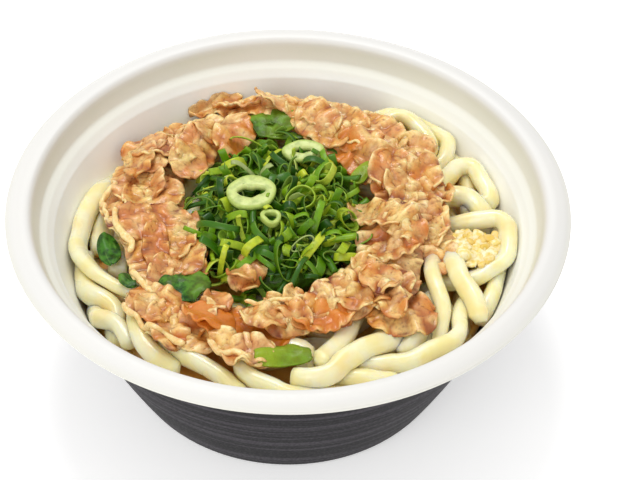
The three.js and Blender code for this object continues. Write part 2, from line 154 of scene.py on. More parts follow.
# ----------------------------------------------------------------- making meshes
def make_mesh(name, points, faces, values, materials, face_slots=None):
    """A mesh piece from points in millimetres, with a named number for each point."""
    mesh = bpy.data.meshes.new(name)
    points = np.asarray(points, float) * MM
    faces = np.asarray(faces, int)
    mesh.vertices.add(len(points))
    mesh.vertices.foreach_set("co", points.astype(np.float32).ravel())
    corners = faces.shape[1]
    mesh.loops.add(faces.size)
    mesh.loops.foreach_set("vertex_index", faces.astype(np.int32).ravel())
    mesh.polygons.add(len(faces))
    mesh.polygons.foreach_set("loop_start", np.arange(0, faces.size, corners, dtype=np.int32))
    mesh.polygons.foreach_set("loop_total", np.full(len(faces), corners, np.int32))
    for material in materials:
        mesh.materials.append(material)
    if face_slots is not None:
        mesh.polygons.foreach_set("material_index", np.asarray(face_slots, np.int32))
    mesh.update(calc_edges=True)
    mesh.polygons.foreach_set("use_smooth", np.ones(len(faces), bool))
    for key, value in values.items():
        attribute = mesh.attributes.new(key, "FLOAT", "POINT")
        attribute.data.foreach_set("value", np.asarray(value, np.float32).ravel())
    mesh.update()
    piece = bpy.data.objects.new(name, mesh)
    bpy.context.scene.collection.objects.link(piece)
    return piece


def grid_faces(rows, columns, closed=False, start=0):
    """Quads over points stored row by row; `closed` joins the last column to the first."""
    i = np.arange(rows - 1)[:, None]
    j = np.arange(columns if closed else columns - 1)[None, :]
    a = i * columns + j
    b = i * columns + (j + 1) % columns
    quads = np.stack([a, b, b + columns, a + columns], axis=-1)
    return quads.reshape(-1, 4) + start


def grid_normals(grid):
    """Unit normals of a grid of points (rows, columns, 3)."""
    along = np.gradient(grid, axis=1)
    across = np.gradient(grid, axis=0)
    normal = np.cross(along, across)
    return normal / np.maximum(np.linalg.norm(normal, axis=2, keepdims=True), 1e-9)


def sheet(grid, thickness):
    """Points and quads of a closed sheet about a grid of points, each with its thickness."""
    rows, columns, _ = grid.shape
    normal = grid_normals(grid)
    half = (thickness / 2)[..., None]
    top = (grid + normal * half).reshape(-1, 3)
    bottom = (grid - normal * half).reshape(-1, 3)
    count = rows * columns
    faces = [grid_faces(rows, columns), grid_faces(rows, columns, start=count)[:, ::-1]]
    edge = list(range(columns))
    edge += [r * columns + columns - 1 for r in range(1, rows)]
    edge += [(rows - 1) * columns + c for c in range(columns - 2, -1, -1)]
    edge += [r * columns for r in range(rows - 2, 0, -1)]
    a = np.array(edge)
    b = np.roll(a, -1)
    faces.append(np.stack([a, a + count, b + count, b], axis=1))
    return np.vstack([top, bottom]), np.vstack(faces)


def joined(parts):
    """Several sets of points and quads as one."""
    points, faces, start = [], [], 0
    for p, f in parts:
        points.append(p)
        faces.append(np.asarray(f) + start)
        start += len(p)
    return np.vstack(points), np.vstack(faces)


def weld(piece, distance=0.01):
    """Joins points that lie on one another, such as those at a noodle's closed end."""
    work = bmesh.new()
    work.from_mesh(piece.data)
    bmesh.ops.remove_doubles(work, verts=work.verts, dist=distance * MM)
    bmesh.ops.dissolve_degenerate(work, edges=work.edges, dist=1e-7)
    work.to_mesh(piece.data)
    work.free()
    piece.data.update()


class Surface:
    """The solid of one CAD node, for finding its top at a place in plan."""

    def __init__(self, node):
        mesh = NODES[node].data
        self.points = np.array([v.co for v in mesh.vertices]) / MM
        faces = [tuple(p.vertices) for p in mesh.polygons]
        self.tree = BVHTree.FromPolygons([tuple(p) for p in self.points], faces)

    def top(self, x, y, missing=None):
        hit = self.tree.ray_cast(Vector((x, y, 200)), Vector((0, 0, -1)))
        if hit[0] is not None:
            return hit[0].z
        if missing is not None:
            return missing
        away = np.hypot(self.points[:, 0] - x, self.points[:, 1] - y)
        near = np.argsort(away)[:6]
        return float(np.max(self.points[near, 2]))


# --------------------------------------------------------------------- materials
def colour(hexadecimal):
    """A colour given as on screen, in the linear numbers that shaders take."""
    parts = [int(hexadecimal[i : i + 2], 16) / 255 for i in (0, 2, 4)]
    linear = [c / 12.92 if c <= 0.04045 else ((c + 0.055) / 1.055) ** 2.4 for c in parts]
    return (*linear, 1.0)


class Shader:
    """A material's nodes, made one after another. Colours may be given as on screen."""

    # The Mix node's sockets for colours, which share their names with those for numbers.
    MIX_A, MIX_B, MIX_RESULT = 6, 7, 2

    def __init__(self, name, **constants):
        self.material = bpy.data.materials.new(name)
        self.material.use_nodes = True
        self.tree = self.material.node_tree
        self.surface = self.tree.nodes["Principled BSDF"]
        for socket, value in constants.items():
            self.surface.inputs[socket.replace("_", " ")].default_value = value

    def node(self, kind, settings=None, **inputs):
        made = self.tree.nodes.new("ShaderNode" + kind)
        for key, value in (settings or {}).items():
            setattr(made, key, value)
        for key, value in inputs.items():
            self.put(made.inputs[key.replace("_", " ")], value)
        return made

    def put(self, socket, value):
        if isinstance(value, bpy.types.NodeSocket):
            self.tree.links.new(value, socket)
        else:
            socket.default_value = colour(value) if isinstance(value, str) else value

    def place(self):
        return self.node("TexCoord").outputs["Object"]

    def value(self, name):
        return self.node("Attribute", {"attribute_name": name}).outputs["Fac"]

    def noise(self, size, detail=3.0, rough=0.5, stretch=None):
        """Noise with bumps about `size` mm wide."""
        place = self.place()
        if stretch:
            mapping = self.node("Mapping", Vector=place)
            mapping.inputs["Scale"].default_value = stretch
            place = mapping.outputs["Vector"]
        made = self.node("TexNoise", Vector=place, Scale=1 / (size * MM), Detail=detail, Roughness=rough)
        return made.outputs["Fac"]

    def spread(self, value, low, high, to_low=0.0, to_high=1.0):
        made = self.node("MapRange", {"interpolation_type": "SMOOTHSTEP"}, Value=value)
        for key, number in (("From Min", low), ("From Max", high), ("To Min", to_low), ("To Max", to_high)):
            made.inputs[key].default_value = number
        return made.outputs["Result"]

    def times(self, a, b):
        made = self.node("Math", {"operation": "MULTIPLY", "use_clamp": True})
        self.put(made.inputs[0], a)
        self.put(made.inputs[1], b)
        return made.outputs[0]

    def mix(self, share, a, b):
        made = self.node("Mix", {"data_type": "RGBA"}, Factor=share)
        self.put(made.inputs[self.MIX_A], a)
        self.put(made.inputs[self.MIX_B], b)
        return made.outputs[self.MIX_RESULT]

    def ramp(self, value, *stops):
        made = self.node("ValToRGB", Fac=value)
        ramp = made.color_ramp
        while len(ramp.elements) < len(stops):
            ramp.elements.new(0.5)
        for element, (position, tint) in zip(ramp.elements, stops):
            element.position = position
            element.color = colour(tint)
        return made.outputs["Color"]

    def paint(self, tint, rough=None, bump=None, bump_mm=0.2, bump_share=1.0):
        self.put(self.surface.inputs["Base Color"], tint)
        if rough is not None:
            self.put(self.surface.inputs["Roughness"], rough)
        if bump is not None:
            made = self.node("Bump", Height=bump, Strength=bump_share, Distance=bump_mm * MM)
            self.put(self.surface.inputs["Normal"], made.outputs["Normal"])
        return self.material


def white_foam():
    s = Shader("white_foam", Roughness=0.42, Specular_IOR_Level=0.45)
    grain = s.noise(1.6, detail=2)
    mottle = s.noise(26, detail=2)
    # painted light and shade by height: near white low in the bowl, against the shade the food casts there,
    # darker and warmer on the upright wall between the ledge and the rim, where the light from above falls
    # least, and a little grey on the flange so that it shows against the floor
    painted_shade_by_level = ((0.80, "F9FCFB"), (0.87, "EAEADF"), (0.95, "DCDBCC"), (0.985, "E4E3E0"))
    white_with_painted_shade = s.ramp(s.value("level"), *painted_shade_by_level)
    tint = s.mix(s.spread(mottle, 0.35, 0.7, 0.0, 0.3), white_with_painted_shade, "E8E6E0")
    rough = s.spread(grain, 0.3, 0.7, 0.38, 0.5)
    return s.paint(tint, rough, grain, bump_mm=0.06, bump_share=0.5)


def dark_foam():
    s = Shader("dark_foam", Roughness=0.62, Specular_IOR_Level=0.2)
    bands = s.noise(2.6, detail=2, stretch=(0.02, 0.02, 1.6))
    streak = s.noise(4, detail=3, stretch=(0.4, 0.4, 2.5))
    speck = s.noise(0.9, detail=2)
    tint = s.mix(s.spread(streak, 0.3, 0.7), "0C0A0D", "161418")
    tint = s.mix(s.spread(bands, 0.48, 0.58, 0.0, 0.85), tint, "3D393F")
    tint = s.mix(s.spread(speck, 0.45, 0.65, 0.0, 0.35), tint, "2A272C")
    return s.paint(tint, s.spread(speck, 0.3, 0.7, 0.55, 0.7), speck, bump_mm=0.08, bump_share=0.6)


def noodle_skin():
    s = Shader(
        "noodle", Roughness=0.3, Specular_IOR_Level=0.4, Subsurface_Weight=0.85,
        Subsurface_Radius=(1.0, 0.85, 0.4), Subsurface_Scale=5.0 * MM, Coat_Weight=0.45,
        Coat_Roughness=0.07,
    )
    cloud = s.noise(8, detail=2)
    fine = s.noise(1.4, detail=3)
    tint = s.mix(s.spread(cloud, 0.35, 0.65), "FBF1CC", "F6E6A8")
    # painted shade with the soup's orange tint, stronger deeper in the heap
    tint = s.mix(s.times(s.value("deep_shade_and_soup"), 0.9), tint, "E2A03C")
    tint = s.mix(s.times(s.value("stain"), 0.8), tint, "D49A50")
    return s.paint(tint, s.spread(cloud, 0.3, 0.7, 0.22, 0.36), fine, bump_mm=0.09, bump_share=0.5)


def meat_skin():
    s = Shader(
        "meat", Roughness=0.38, Specular_IOR_Level=0.35, Subsurface_Weight=0.2,
        Subsurface_Radius=(1.0, 0.4, 0.2), Subsurface_Scale=1.6 * MM, Coat_Weight=0.4,
        Coat_Roughness=0.13,
    )
    cloud = s.noise(11, detail=3)
    fibre = s.noise(1.3, detail=5, rough=0.6)
    # painted light and shade: dark at the bottoms of the folds and pale at their tops, as if lit from above
    stops = (0.0, 0.28, 0.5, 0.72, 1.0)  # from the bottoms of the folds to their tops
    golden = s.ramp(s.value("painted_fold_light"), *zip(stops, ("7A3810", "C0722C", "E0A650", "F6D082", "FFF0B0")))
    pink = s.ramp(s.value("painted_fold_light"), *zip(stops, ("743818", "B8764A", "DA9E6C", "EEBE8C", "FADCAE")))
    lean = s.mix(s.spread(cloud, 0.42, 0.62, 0.0, 0.6), golden, pink)
    lean = s.mix(s.spread(s.noise(8, detail=2), 0.48, 0.66, 0.0, 0.45), lean, "DC8240")
    pale = s.noise(9, detail=1, stretch=(1, 1, 1.3))
    lean = s.mix(s.spread(pale, 0.52, 0.68, 0.0, 0.65), lean, "F6DA90")
    lean = s.mix(s.spread(fibre, 0.36, 0.56, 0.35, 0.0), lean, "A8602C")
    fat = s.mix(s.spread(fibre, 0.3, 0.7), "F4CC7C", "FEE8AE")
    tint = s.mix(s.value("fat"), lean, fat)
    # painted shade in the creases and between the fine wrinkles
    tint = s.mix(s.spread(s.value("painted_crease_shade"), 0.0, 0.65, 0.0, 0.95), tint, "7A2C0A")
    tint = s.mix(s.times(s.value("sauce"), 0.85), tint, "D6760C")
    return s.paint(tint, s.spread(fibre, 0.3, 0.7, 0.28, 0.5), fibre, bump_mm=0.3, bump_share=0.7)


def onion_skin():
    s = Shader(
        "onion", Roughness=0.34, Specular_IOR_Level=0.35, Subsurface_Weight=0.12,
        Subsurface_Radius=(0.5, 1.0, 0.3), Subsurface_Scale=1.2 * MM,
    )
    greens = ((0.0, "1E4606"), (0.3, "3A6C08"), (0.6, "72A00E"), (1.0, "C6D232"))
    outside = s.ramp(s.value("shade"), *greens)
    inside = s.mix(0.45, outside, "B4D056")
    tint = s.mix(s.value("inner"), outside, inside)
    tint = s.mix(s.value("pale"), tint, "D2DC90")
    streak = s.noise(2.2, detail=3)
    tint = s.mix(s.spread(streak, 0.4, 0.7, 0.0, 0.3), tint, "2A6410")
    return s.paint(tint, s.spread(streak, 0.3, 0.7, 0.26, 0.42), streak, bump_mm=0.1, bump_share=0.4)


def leaf_skin():
    s = Shader(
        "leaf", Roughness=0.5, Specular_IOR_Level=0.2, Subsurface_Weight=0.15,
        Subsurface_Radius=(0.4, 1.0, 0.3), Subsurface_Scale=1.0 * MM, Coat_Weight=0.12,
        Coat_Roughness=0.12,
    )
    patch = s.noise(2.6, detail=4)
    tint = s.mix(s.spread(patch, 0.38, 0.64), "173F0C", "427A1E")
    tint = s.mix(s.value("shade"), tint, "98AE20")
    tint = s.mix(s.times(s.value("rib"), 0.25), tint, "86A850")
    pores = s.noise(1.1, detail=3)
    return s.paint(tint, s.spread(patch, 0.3, 0.7, 0.38, 0.55), pores, bump_mm=0.45, bump_share=0.6)


def ginger_skin():
    s = Shader(
        "ginger", Roughness=0.4, Specular_IOR_Level=0.35, Subsurface_Weight=0.1,
        Subsurface_Radius=(1.0, 0.85, 0.35), Subsurface_Scale=2.5 * MM,
    )
    crumb = s.noise(1.6, detail=3)
    tint = s.mix(s.spread(crumb, 0.35, 0.65), "F2D878", "FFF6CC")
    tint = s.mix(s.times(s.value("stain"), 0.8), tint, "E6BC48")
    return s.paint(tint, s.spread(crumb, 0.3, 0.7, 0.28, 0.45), crumb, bump_mm=0.1, bump_share=0.5)


def floor_paint():
    s = Shader(
        "floor", Roughness=0.8, Specular_IOR_Level=0.1,
        Emission_Color=(1, 1, 1, 1), Emission_Strength=0.38,
    )
    return s.paint(s.mix(s.noise(400, detail=1), "FFFFFF", "FDFDFD"))


# ---------------------------------------------------------------------- the bowl
# All in millimetres. The frame gives the bowl's outer radius and height, and the
# rest follows the CAD's profile.
BOWL_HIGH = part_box("bowl")[1] / MM
RIM, HEIGHT = BOWL_HIGH.x, BOWL_HIGH.z
SHEET = 1.6  # thickness of the foamed sheet
FOOT = 54.0  # radius of the foot
STEP_RADIUS, STEP_DEPTH = 79.6, 13.2  # the top of the wall inside, and how far it is below the rim


def wall_radius(z):
    """Inner radius of the bowl's wall at a height below the step: it bulges a little."""
    low, high = 5.4, HEIGHT - STEP_DEPTH
    share = np.clip((np.asarray(z, float) - low) / (high - low), 0, 1)
    return FOOT + 4 + share * (STEP_RADIUS - FOOT - 4) + 4.4 * share * (1 - share)


def keep_inside(points, gap=0.8):
    """Moves points of the food in from the bowl's wall."""
    radius = np.hypot(points[:, 0], points[:, 1])
    most = np.minimum(wall_radius(points[:, 2]), STEP_RADIUS - 1) - gap
    points[:, :2] *= np.minimum(1, most / np.maximum(radius, 1))[:, None]
    return points


def rounded(profile, steps=5):
    """Points along a profile of (radius, height, cut) whose corners are rounded off by `cut`."""
    p = np.array([point[:2] for point in profile], float)
    made = [p[0]]
    for before, here, after, (_, _, size) in zip(p, p[1:], p[2:], profile[1:]):
        a, b = before - here, after - here
        reach = min(size, np.linalg.norm(a) * 0.45, np.linalg.norm(b) * 0.45)
        start = here + a / np.linalg.norm(a) * reach
        stop = here + b / np.linalg.norm(b) * reach
        for t in np.linspace(0, 1, steps):
            made.append((1 - t) ** 2 * start + 2 * t * (1 - t) * here + t**2 * stop)
    made.append(p[-1])
    return np.array(made)


def make_bowl(white, dark):
    middle = 0.01  # radius of the innermost ring, which is welded shut
    heights = np.linspace(9, HEIGHT - STEP_DEPTH - 3, 7)
    inside = [
        (middle, 4.8, 1),
        (FOOT - 10, 4.8, 6),
        (FOOT + 1.5, 5.2, 8),
        *[(wall_radius(z), z, 5) for z in heights],
        (STEP_RADIUS, HEIGHT - STEP_DEPTH, 0.6),
        (81.8, HEIGHT - 10.4, 0.7),
        (84.2, HEIGHT - 8.8, 0.9),
        (86.3, HEIGHT - 1.8, 0.8),
        (87.4, HEIGHT - 0.4, 0.9),
        (89.6, HEIGHT, 2.5),
        (92.6, HEIGHT - 0.9, 2.0),
    ]
    lip = [
        (94.2, HEIGHT - 1.9, 1.2),
        (RIM, HEIGHT - 2.2, 0.6),
        (RIM, HEIGHT - 3.3, 0.6),
        (93.6, HEIGHT - 3.6, 0.8),
    ]
    outside = [
        (91.0, HEIGHT - 2.4, 2.0),
        (88.2, HEIGHT - 2.2, 1.5),
        (86.0, HEIGHT - 9.6, 1.5),
        (83.4, HEIGHT - 11.4, 1.5),
        (STEP_RADIUS + SHEET, HEIGHT - 14.4, 1.5),
        *[(wall_radius(z) + SHEET, z, 5) for z in heights[::-1]],
        (FOOT + 3.6, 1.4, 5),
        (FOOT, 0.0, 1.2),
        (FOOT - 4, 0.0, 0.8),
        (FOOT - 5, 1.6, 1.0),
        (middle, 1.6, 1),
    ]
    places = rounded(inside + lip + outside)
    segments = 240
    angles = circle(segments)
    r, z = places[:, 0][:, None], places[:, 1][:, None]
    ring = np.stack([r * np.cos(angles), r * np.sin(angles), z + 0 * angles], axis=-1)
    # foamed sheet is never quite even
    flat = ring.reshape(-1, 3)
    flat[:, 2] += 0.12 * noise(flat, 30, 3) * ease(flat[:, 2], 20, 50) * (flat[:, 2] < HEIGHT - 0.3)
    faces = grid_faces(len(places), segments, closed=True)[:, ::-1]
    last_white = len(rounded(inside + lip)) - 2
    slots = (np.arange(len(faces)) // segments > last_white).astype(int)
    level = {"level": flat[:, 2] / HEIGHT}
    bowl = make_mesh("bowl_shell", flat, faces, level, [white, dark], face_slots=slots)
    weld(bowl, 0.05)
    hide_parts("bowl")
    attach(bowl, "root")


# ------------------------------------------------------------------ the noodles
STRAND = 6.8  # thickness of one noodle
STEP = 3.2  # between the points of a strand


def bed_height(x, y):
    """Height of the heap of noodles, as in the CAD's solid: lower at its edge, higher behind."""
    radius = np.hypot(x, y)
    edge = 44 + 9 * ease(x, 0, 55)
    middle = 53.2
    back = 6 * ease(0.55 * x + y, 10, 70)
    return middle - ease(radius, 62, 77) * (middle - edge) + back


# The strands that show on top, each listed as places along it from end to end.
LAID = [
    # the two loops at the back right
    [(18, 50, 53), (30, 60, 56), (42, 65, 58), (52, 60, 58), (56, 51, 57), (55, 41, 56), (48, 30, 54)],
    [(24, 52, 54), (35, 61, 58), (43, 59, 59), (49, 51, 58), (50, 41, 57), (44, 32, 54)],
    # the arch below them, and the strand that it crosses
    [(48, 24, 53), (54, 33, 55), (61, 37, 56), (68, 34, 56), (71, 26, 55), (69, 17, 54), (62, 10, 52)],
    [(46, 20, 53), (56, 22, 54), (64, 20, 55), (70, 14, 54), (73, 6, 52)],
    # the wide loop round the ginger, doubled at its outer side
    [(54, 6, 54), (64, 9, 56), (72, 8, 57), (76, 0, 57)]
    + [(74, -10, 56), (67, -17, 55), (58, -19, 54), (50, -16, 52)],
    [(66, 24, 51), (74, 14, 53), (77, 2, 54), (76, -10, 53), (71, -22, 52), (63, -34, 50)],
    # the fat strands that hang from the slices at the right
    [(46, 2, 54), (51, -8, 57), (49, -17, 57), (50, -30, 55), (52, -40, 51), (50, -48, 47)],
    [(50, 0, 54), (55, -10, 57), (58, -20, 57), (62, -29, 55), (65, -37, 51)],
    [(60, -24, 51), (59, -34, 51), (55, -43, 51), (47, -50, 51), (36, -54, 51), (22, -59, 50)],
    [(50, -22, 51), (46, -34, 53), (43, -44, 52), (38, -52, 50)],
    # the front, from right to left
    [(44, -34, 52), (36, -45, 55), (28, -51, 55), (21, -58, 54), (14, -64, 53), (2, -66, 51)],
    [(26, -28, 52), (22, -38, 54), (20, -46, 55), (15, -54, 54), (10, -62, 52)],
    [(12, -63, 51), (20, -61, 52), (29, -62, 51), (37, -60, 48)],
    [(-12, -55, 52), (-14, -61, 53), (-9, -65, 53), (2, -67, 52), (14, -66, 50), (26, -64, 48)],
    [(-42, -48, 51), (-34, -55, 53), (-27, -58, 53), (-20, -62, 52), (-12, -68, 49)],
    [(-46, -30, 51), (-50, -38, 53), (-48, -46, 53), (-41, -52, 52), (-33, -58, 50)],
    [(-70, -26, 43), (-64, -31, 47), (-57, -36, 50), (-52, -41, 51), (-50, -48, 48)],
    [(-4, -48, 53), (1, -51, 55), (6, -52, 55), (9, -57, 54), (10, -64, 51)],
    # the crescent at the left
    [(-60, 44, 51), (-68, 32, 51), (-72, 20, 51), (-73, 6, 51)]
    + [(-72, -6, 51), (-67, -16, 52), (-58, -23, 52), (-48, -26, 50)],
    [(-74, -2, 45), (-71, -13, 47), (-67, -23, 48), (-61, -32, 48), (-54, -44, 46)],
]


def loose_strands(count, rng):
    """Strands that wander round the bowl below those that are listed one by one."""
    strands = []
    for k in range(count):
        angle = 2 * np.pi * k / count + rng.uniform(-0.2, 0.2)
        radius = rng.choice([36, 48, 58, 66, 70]) + rng.uniform(-4, 4)
        turn = rng.choice([-1, 1])
        length = rng.uniform(45, 95)
        swing = rng.uniform(4, 11)
        phase = rng.uniform(0, 2 * np.pi)
        depth = rng.uniform(4.5, 13)
        places = []
        for t in np.linspace(0, 1, 7):
            a = angle + turn * t * length / radius
            r = min(radius + swing * math.sin(phase + 5 * t), 72)
            x, y = r * math.cos(a), r * math.sin(a)
            places.append((x, y, float(bed_height(x, y)) - depth + 1.5 * math.sin(phase + 7 * t)))
        strands.append(places)
    return strands


def push_apart(points, pairs, reach):
    """How far points of different strands have to move so that the strands don't meet."""
    a, b = pairs
    between = points[a] - points[b]
    away = np.linalg.norm(between, axis=1)
    near = away < reach
    a, b, between, away = a[near], b[near], between[near], np.maximum(away[near], 0.05)
    push = between / away[:, None] * (0.32 * (reach - away))[:, None]
    moved = np.zeros_like(points)
    for k in range(3):
        moved[:, k] = np.bincount(a, push[:, k], len(points)) - np.bincount(b, push[:, k], len(points))
    return moved


def near_pairs(points, owner, order, reach):
    """Pairs of points closer than `reach`, leaving out near neighbours on one strand."""
    found_a, found_b = [], []
    low = points.astype(np.float32)
    for start in range(0, len(low), 400):
        block = low[start : start + 400]
        away = ((block[:, None, :] - low[None, :, :]) ** 2).sum(axis=2)
        i, j = np.nonzero(away < reach * reach)
        i += start
        keep = (i < j) & ((owner[i] != owner[j]) | (np.abs(order[i] - order[j]) > 4))
        found_a.append(i[keep])
        found_b.append(j[keep])
    return np.concatenate(found_a), np.concatenate(found_b)


def slice_undersides(step=2.0, reach=80):
    """A map of the lowest meat above each place in plan, for keeping noodles under it."""
    count = int(2 * reach / step) + 1
    low = np.full((count, count), 200.0)
    for node in SLICES:
        under = Surface(node)
        small = np.floor((under.points[:, :2].min(axis=0) + reach) / step).astype(int)
        large = np.ceil((under.points[:, :2].max(axis=0) + reach) / step).astype(int)
        for i in range(small[0], large[0] + 1):
            for j in range(small[1], large[1] + 1):
                place = Vector((i * step - reach, j * step - reach, 0))
                hit = under.tree.ray_cast(place, Vector((0, 0, 1)))
                if hit[0] is not None:
                    low[i, j] = min(low[i, j], hit[0].z)

    def lowest(x, y):
        i = np.clip(np.rint((x + reach) / step).astype(int), 0, count - 1)
        j = np.clip(np.rint((y + reach) / step).astype(int), 0, count - 1)
        return low[i, j]

    return lowest


def settle(strands, hold, rounds=150):
    """Lets the strands sink and lie against each other, the wall and the slices.

    `hold` says how hard each strand keeps to its place.
    """
    highest, deepest = 61.5, 17  # the first over the table, the second below the heap's top
    lines = [curve_through(s, STEP) for s in strands]
    points = np.vstack(lines)
    owner = np.concatenate([np.full(len(line), k) for k, line in enumerate(lines)])
    order = np.concatenate([np.arange(len(line)) for line in lines])
    grip = np.concatenate([np.full(len(line), hold[k]) for k, line in enumerate(lines)])[:, None]
    home = points.copy()
    linked = np.nonzero(owner[:-1] == owner[1:])[0]
    inner = linked[np.isin(linked + 1, linked)] + 1
    for turn in range(rounds):
        if turn % 8 == 0:
            pairs = near_pairs(points, owner, order, STRAND + 2.5)
        points[:, 2] -= 0.05
        points += grip * (home - points)
        points += push_apart(points, pairs, STRAND * 0.97)
        points[inner] += 0.1 * (0.5 * (points[inner - 1] + points[inner + 1]) - points[inner])
        for _ in range(2):
            span = points[linked + 1] - points[linked]
            size = np.linalg.norm(span, axis=1, keepdims=True)
            pull = 0.45 * (size - STEP) * span / size
            moved = np.zeros_like(points)
            moved[linked] += pull
            moved[linked + 1] -= pull
            points += moved
        radius = np.hypot(points[:, 0], points[:, 1])
        most = wall_radius(points[:, 2]) - STRAND / 2 - 0.4
        points[:, :2] *= np.minimum(1, most / np.maximum(radius, 1))[:, None]
        bed = bed_height(points[:, 0], points[:, 1])
        covered = np.where(grip[:, 0] < 0.05, ease(radius, 70, 60), 0)
        ceiling = np.minimum(highest, bed + 9 - 13 * covered)
        points[:, 2] = np.clip(points[:, 2], bed - deepest, ceiling)
    lid = slice_undersides()
    for _ in range(12):
        points[:, 2] = np.minimum(points[:, 2], lid(points[:, 0], points[:, 1]) - STRAND / 2 + 0.2)
        points[inner, 2] += 0.3 * ((points[inner - 1, 2] + points[inner + 1, 2]) / 2 - points[inner, 2])
    return [points[owner == k] for k in range(len(lines))]


def tube(places, size, rng, around=14, finer=2):
    """Points and quads of one noodle, or rim of fat, about `size` thick through the places."""
    line = curve_through(places, STEP / finer)
    count = len(line)
    ahead = np.gradient(line, axis=0)
    ahead /= np.linalg.norm(ahead, axis=1, keepdims=True)
    side = np.cross(ahead[0], (0.1, 0.2, 1.0))
    sides = []
    for direction in ahead:
        side = side - direction * np.dot(side, direction)
        side /= np.linalg.norm(side)
        sides.append(side)
    sides = np.array(sides)
    others = np.cross(ahead, sides)
    along = np.linspace(0, 1, count)
    twist = rng.uniform(0, 2 * np.pi) + rng.uniform(-1.6, 1.6) * along
    walked = along * count * STEP / finer
    swell = 0.05 * np.sin(walked / rng.uniform(9, 15) + rng.uniform(0, 6))
    uneven = 1 + swell + 0.03 * np.sin(walked / 4.3)
    angle = circle(around)
    power = 2.7  # 2 would make it round, and more makes it squarer
    square = (np.abs(np.cos(angle)) ** power + np.abs(np.sin(angle)) ** power) ** (-1 / power)
    wide, high = size / 2 * 1.05, size / 2 * rng.uniform(0.76, 0.92)
    from_end = np.minimum(walked, walked[-1] - walked)
    taper = np.sqrt(np.clip(1 - (1 - np.clip(from_end / 2.2, 0, 1)) ** 2.2, 0, 1))
    px = (square * np.cos(angle))[None, :] * (wide * uneven * taper)[:, None]
    py = (square * np.sin(angle))[None, :] * (high * uneven * taper)[:, None]
    c, s = np.cos(twist)[:, None], np.sin(twist)[:, None]
    ring = (
        line[:, None, :]
        + sides[:, None, :] * (px * c - py * s)[..., None]
        + others[:, None, :] * (px * s + py * c)[..., None]
    )
    return ring.reshape(-1, 3), grid_faces(count, around, closed=True)[:, ::-1]


def make_noodles(skin):
    rng = np.random.default_rng(5)
    loose = loose_strands(52, rng)
    lines = settle(LAID + loose, [0.1] * len(LAID) + [0.012] * len(loose))
    parts = [tube(line, STRAND * rng.uniform(0.94, 1.06), rng) for line in lines]
    points, faces = joined(parts)
    points += 0.25 * np.stack([noise(points, 9, k) for k in (1, 2, 3)], axis=1)
    depth = bed_height(points[:, 0], points[:, 1]) - points[:, 2]
    radius = np.hypot(points[:, 0] + 3, points[:, 1] - 4)
    stain = ease(layered(points, 14, seed=4), 0.05, 0.7) * ease(radius, 66, 44)
    # deeper in the heap: painted shade, tinted like the soup
    deep_shade_and_soup = 0.85 * ease(depth, 3, 13) + 0.25 * ease(layered(points, 8, seed=8), 0, 0.8)
    noodles = make_mesh("noodle_strands", points, faces, {"deep_shade_and_soup": deep_shade_and_soup, "stain": stain}, [skin])
    weld(noodles)

    # the core: out over its top, down its side and in again along its floor
    core_radius, core_floor, below_bed = 71, 5.6, 9
    rings, around = 40, 120
    angle = circle(around)
    shares = np.concatenate([np.linspace(0, 1, rings), np.full(12, 1.0), np.linspace(1, 0, 8)[1:]])
    radius = shares[:, None] * core_radius + 0 * angle
    x, y = radius * np.cos(angle), radius * np.sin(angle)
    z = bed_height(x, y) - below_bed
    drop = np.concatenate([np.zeros(rings), np.linspace(0, 1, 13)[1:], np.ones(7)])[:, None]
    z = z * (1 - drop) + core_floor * drop
    scale = np.minimum(1, (wall_radius(z) - 1.2) / np.maximum(radius, 1))
    flat = np.stack([x * scale, y * scale, z], axis=-1).reshape(-1, 3)
    flat[:, 2] += (1.3 * layered(flat, 9, seed=2)) * (1 - np.repeat(drop, around, axis=1).ravel())
    # the core takes the full deep colour: painted shade, tinted like the soup, seen through the gaps
    # between the strands
    values = {"deep_shade_and_soup": np.full(len(flat), 1.0), "stain": np.full(len(flat), 0.35)}
    faces = grid_faces(len(shares), around, closed=True)
    core = make_mesh("noodle_core", flat, faces, values, [skin])
    weld(core)
    for piece in (noodles, core):
        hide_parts("noodles")
        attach(piece, "root")


# --------------------------------------------------- the places of flat pieces
class Slab:
    """The place of a flat CAD node: its spine in plan, its half width along it, and its top."""

    def __init__(self, node, bins=9):
        self.surface = Surface(node)
        plan = self.surface.points[:, :2]
        self.middle = plan.mean(axis=0)
        spread = np.cov((plan - self.middle).T)
        _, axes = np.linalg.eigh(spread)
        self.along = axes[:, 1] * (1 if axes[0, 1] >= 0 else -1)
        self.across = np.array([-self.along[1], self.along[0]])
        s = (plan - self.middle) @ self.along
        t = (plan - self.middle) @ self.across
        self.s_low, self.s_high = s.min(), s.max()
        edges = np.linspace(self.s_low, self.s_high, bins + 1)
        at = (edges[:-1] + edges[1:]) / 2
        high, low = [], []
        reach = (edges[1] - edges[0]) * 0.9
        for place in at:
            near = np.abs(s - place) < reach
            high.append(t[near].max())
            low.append(t[near].min())
        self.at, self.high, self.low = at, np.array(high), np.array(low)
        self.length = self.s_high - self.s_low
        self.width = float(np.mean(self.high - self.low))

    def grid(self, u, v):
        """Plan places for u and v, each from -1 to 1 along and across the slab."""
        s = self.s_low + (u + 1) / 2 * self.length
        high = np.interp(s, self.at, self.high)
        low = np.interp(s, self.at, self.low)
        t = (high + low) / 2 + v * (high - low) / 2
        return self.middle + s[..., None] * self.along + t[..., None] * self.across


def blur(field, times):
    """Averages a grid of numbers with its neighbours."""
    for _ in range(times):
        wide = np.pad(field, 1, mode="edge")
        field = (wide[:-2, 1:-1] + wide[2:, 1:-1] + wide[1:-1, :-2] + wide[1:-1, 2:] + 2 * field) / 6
    return field


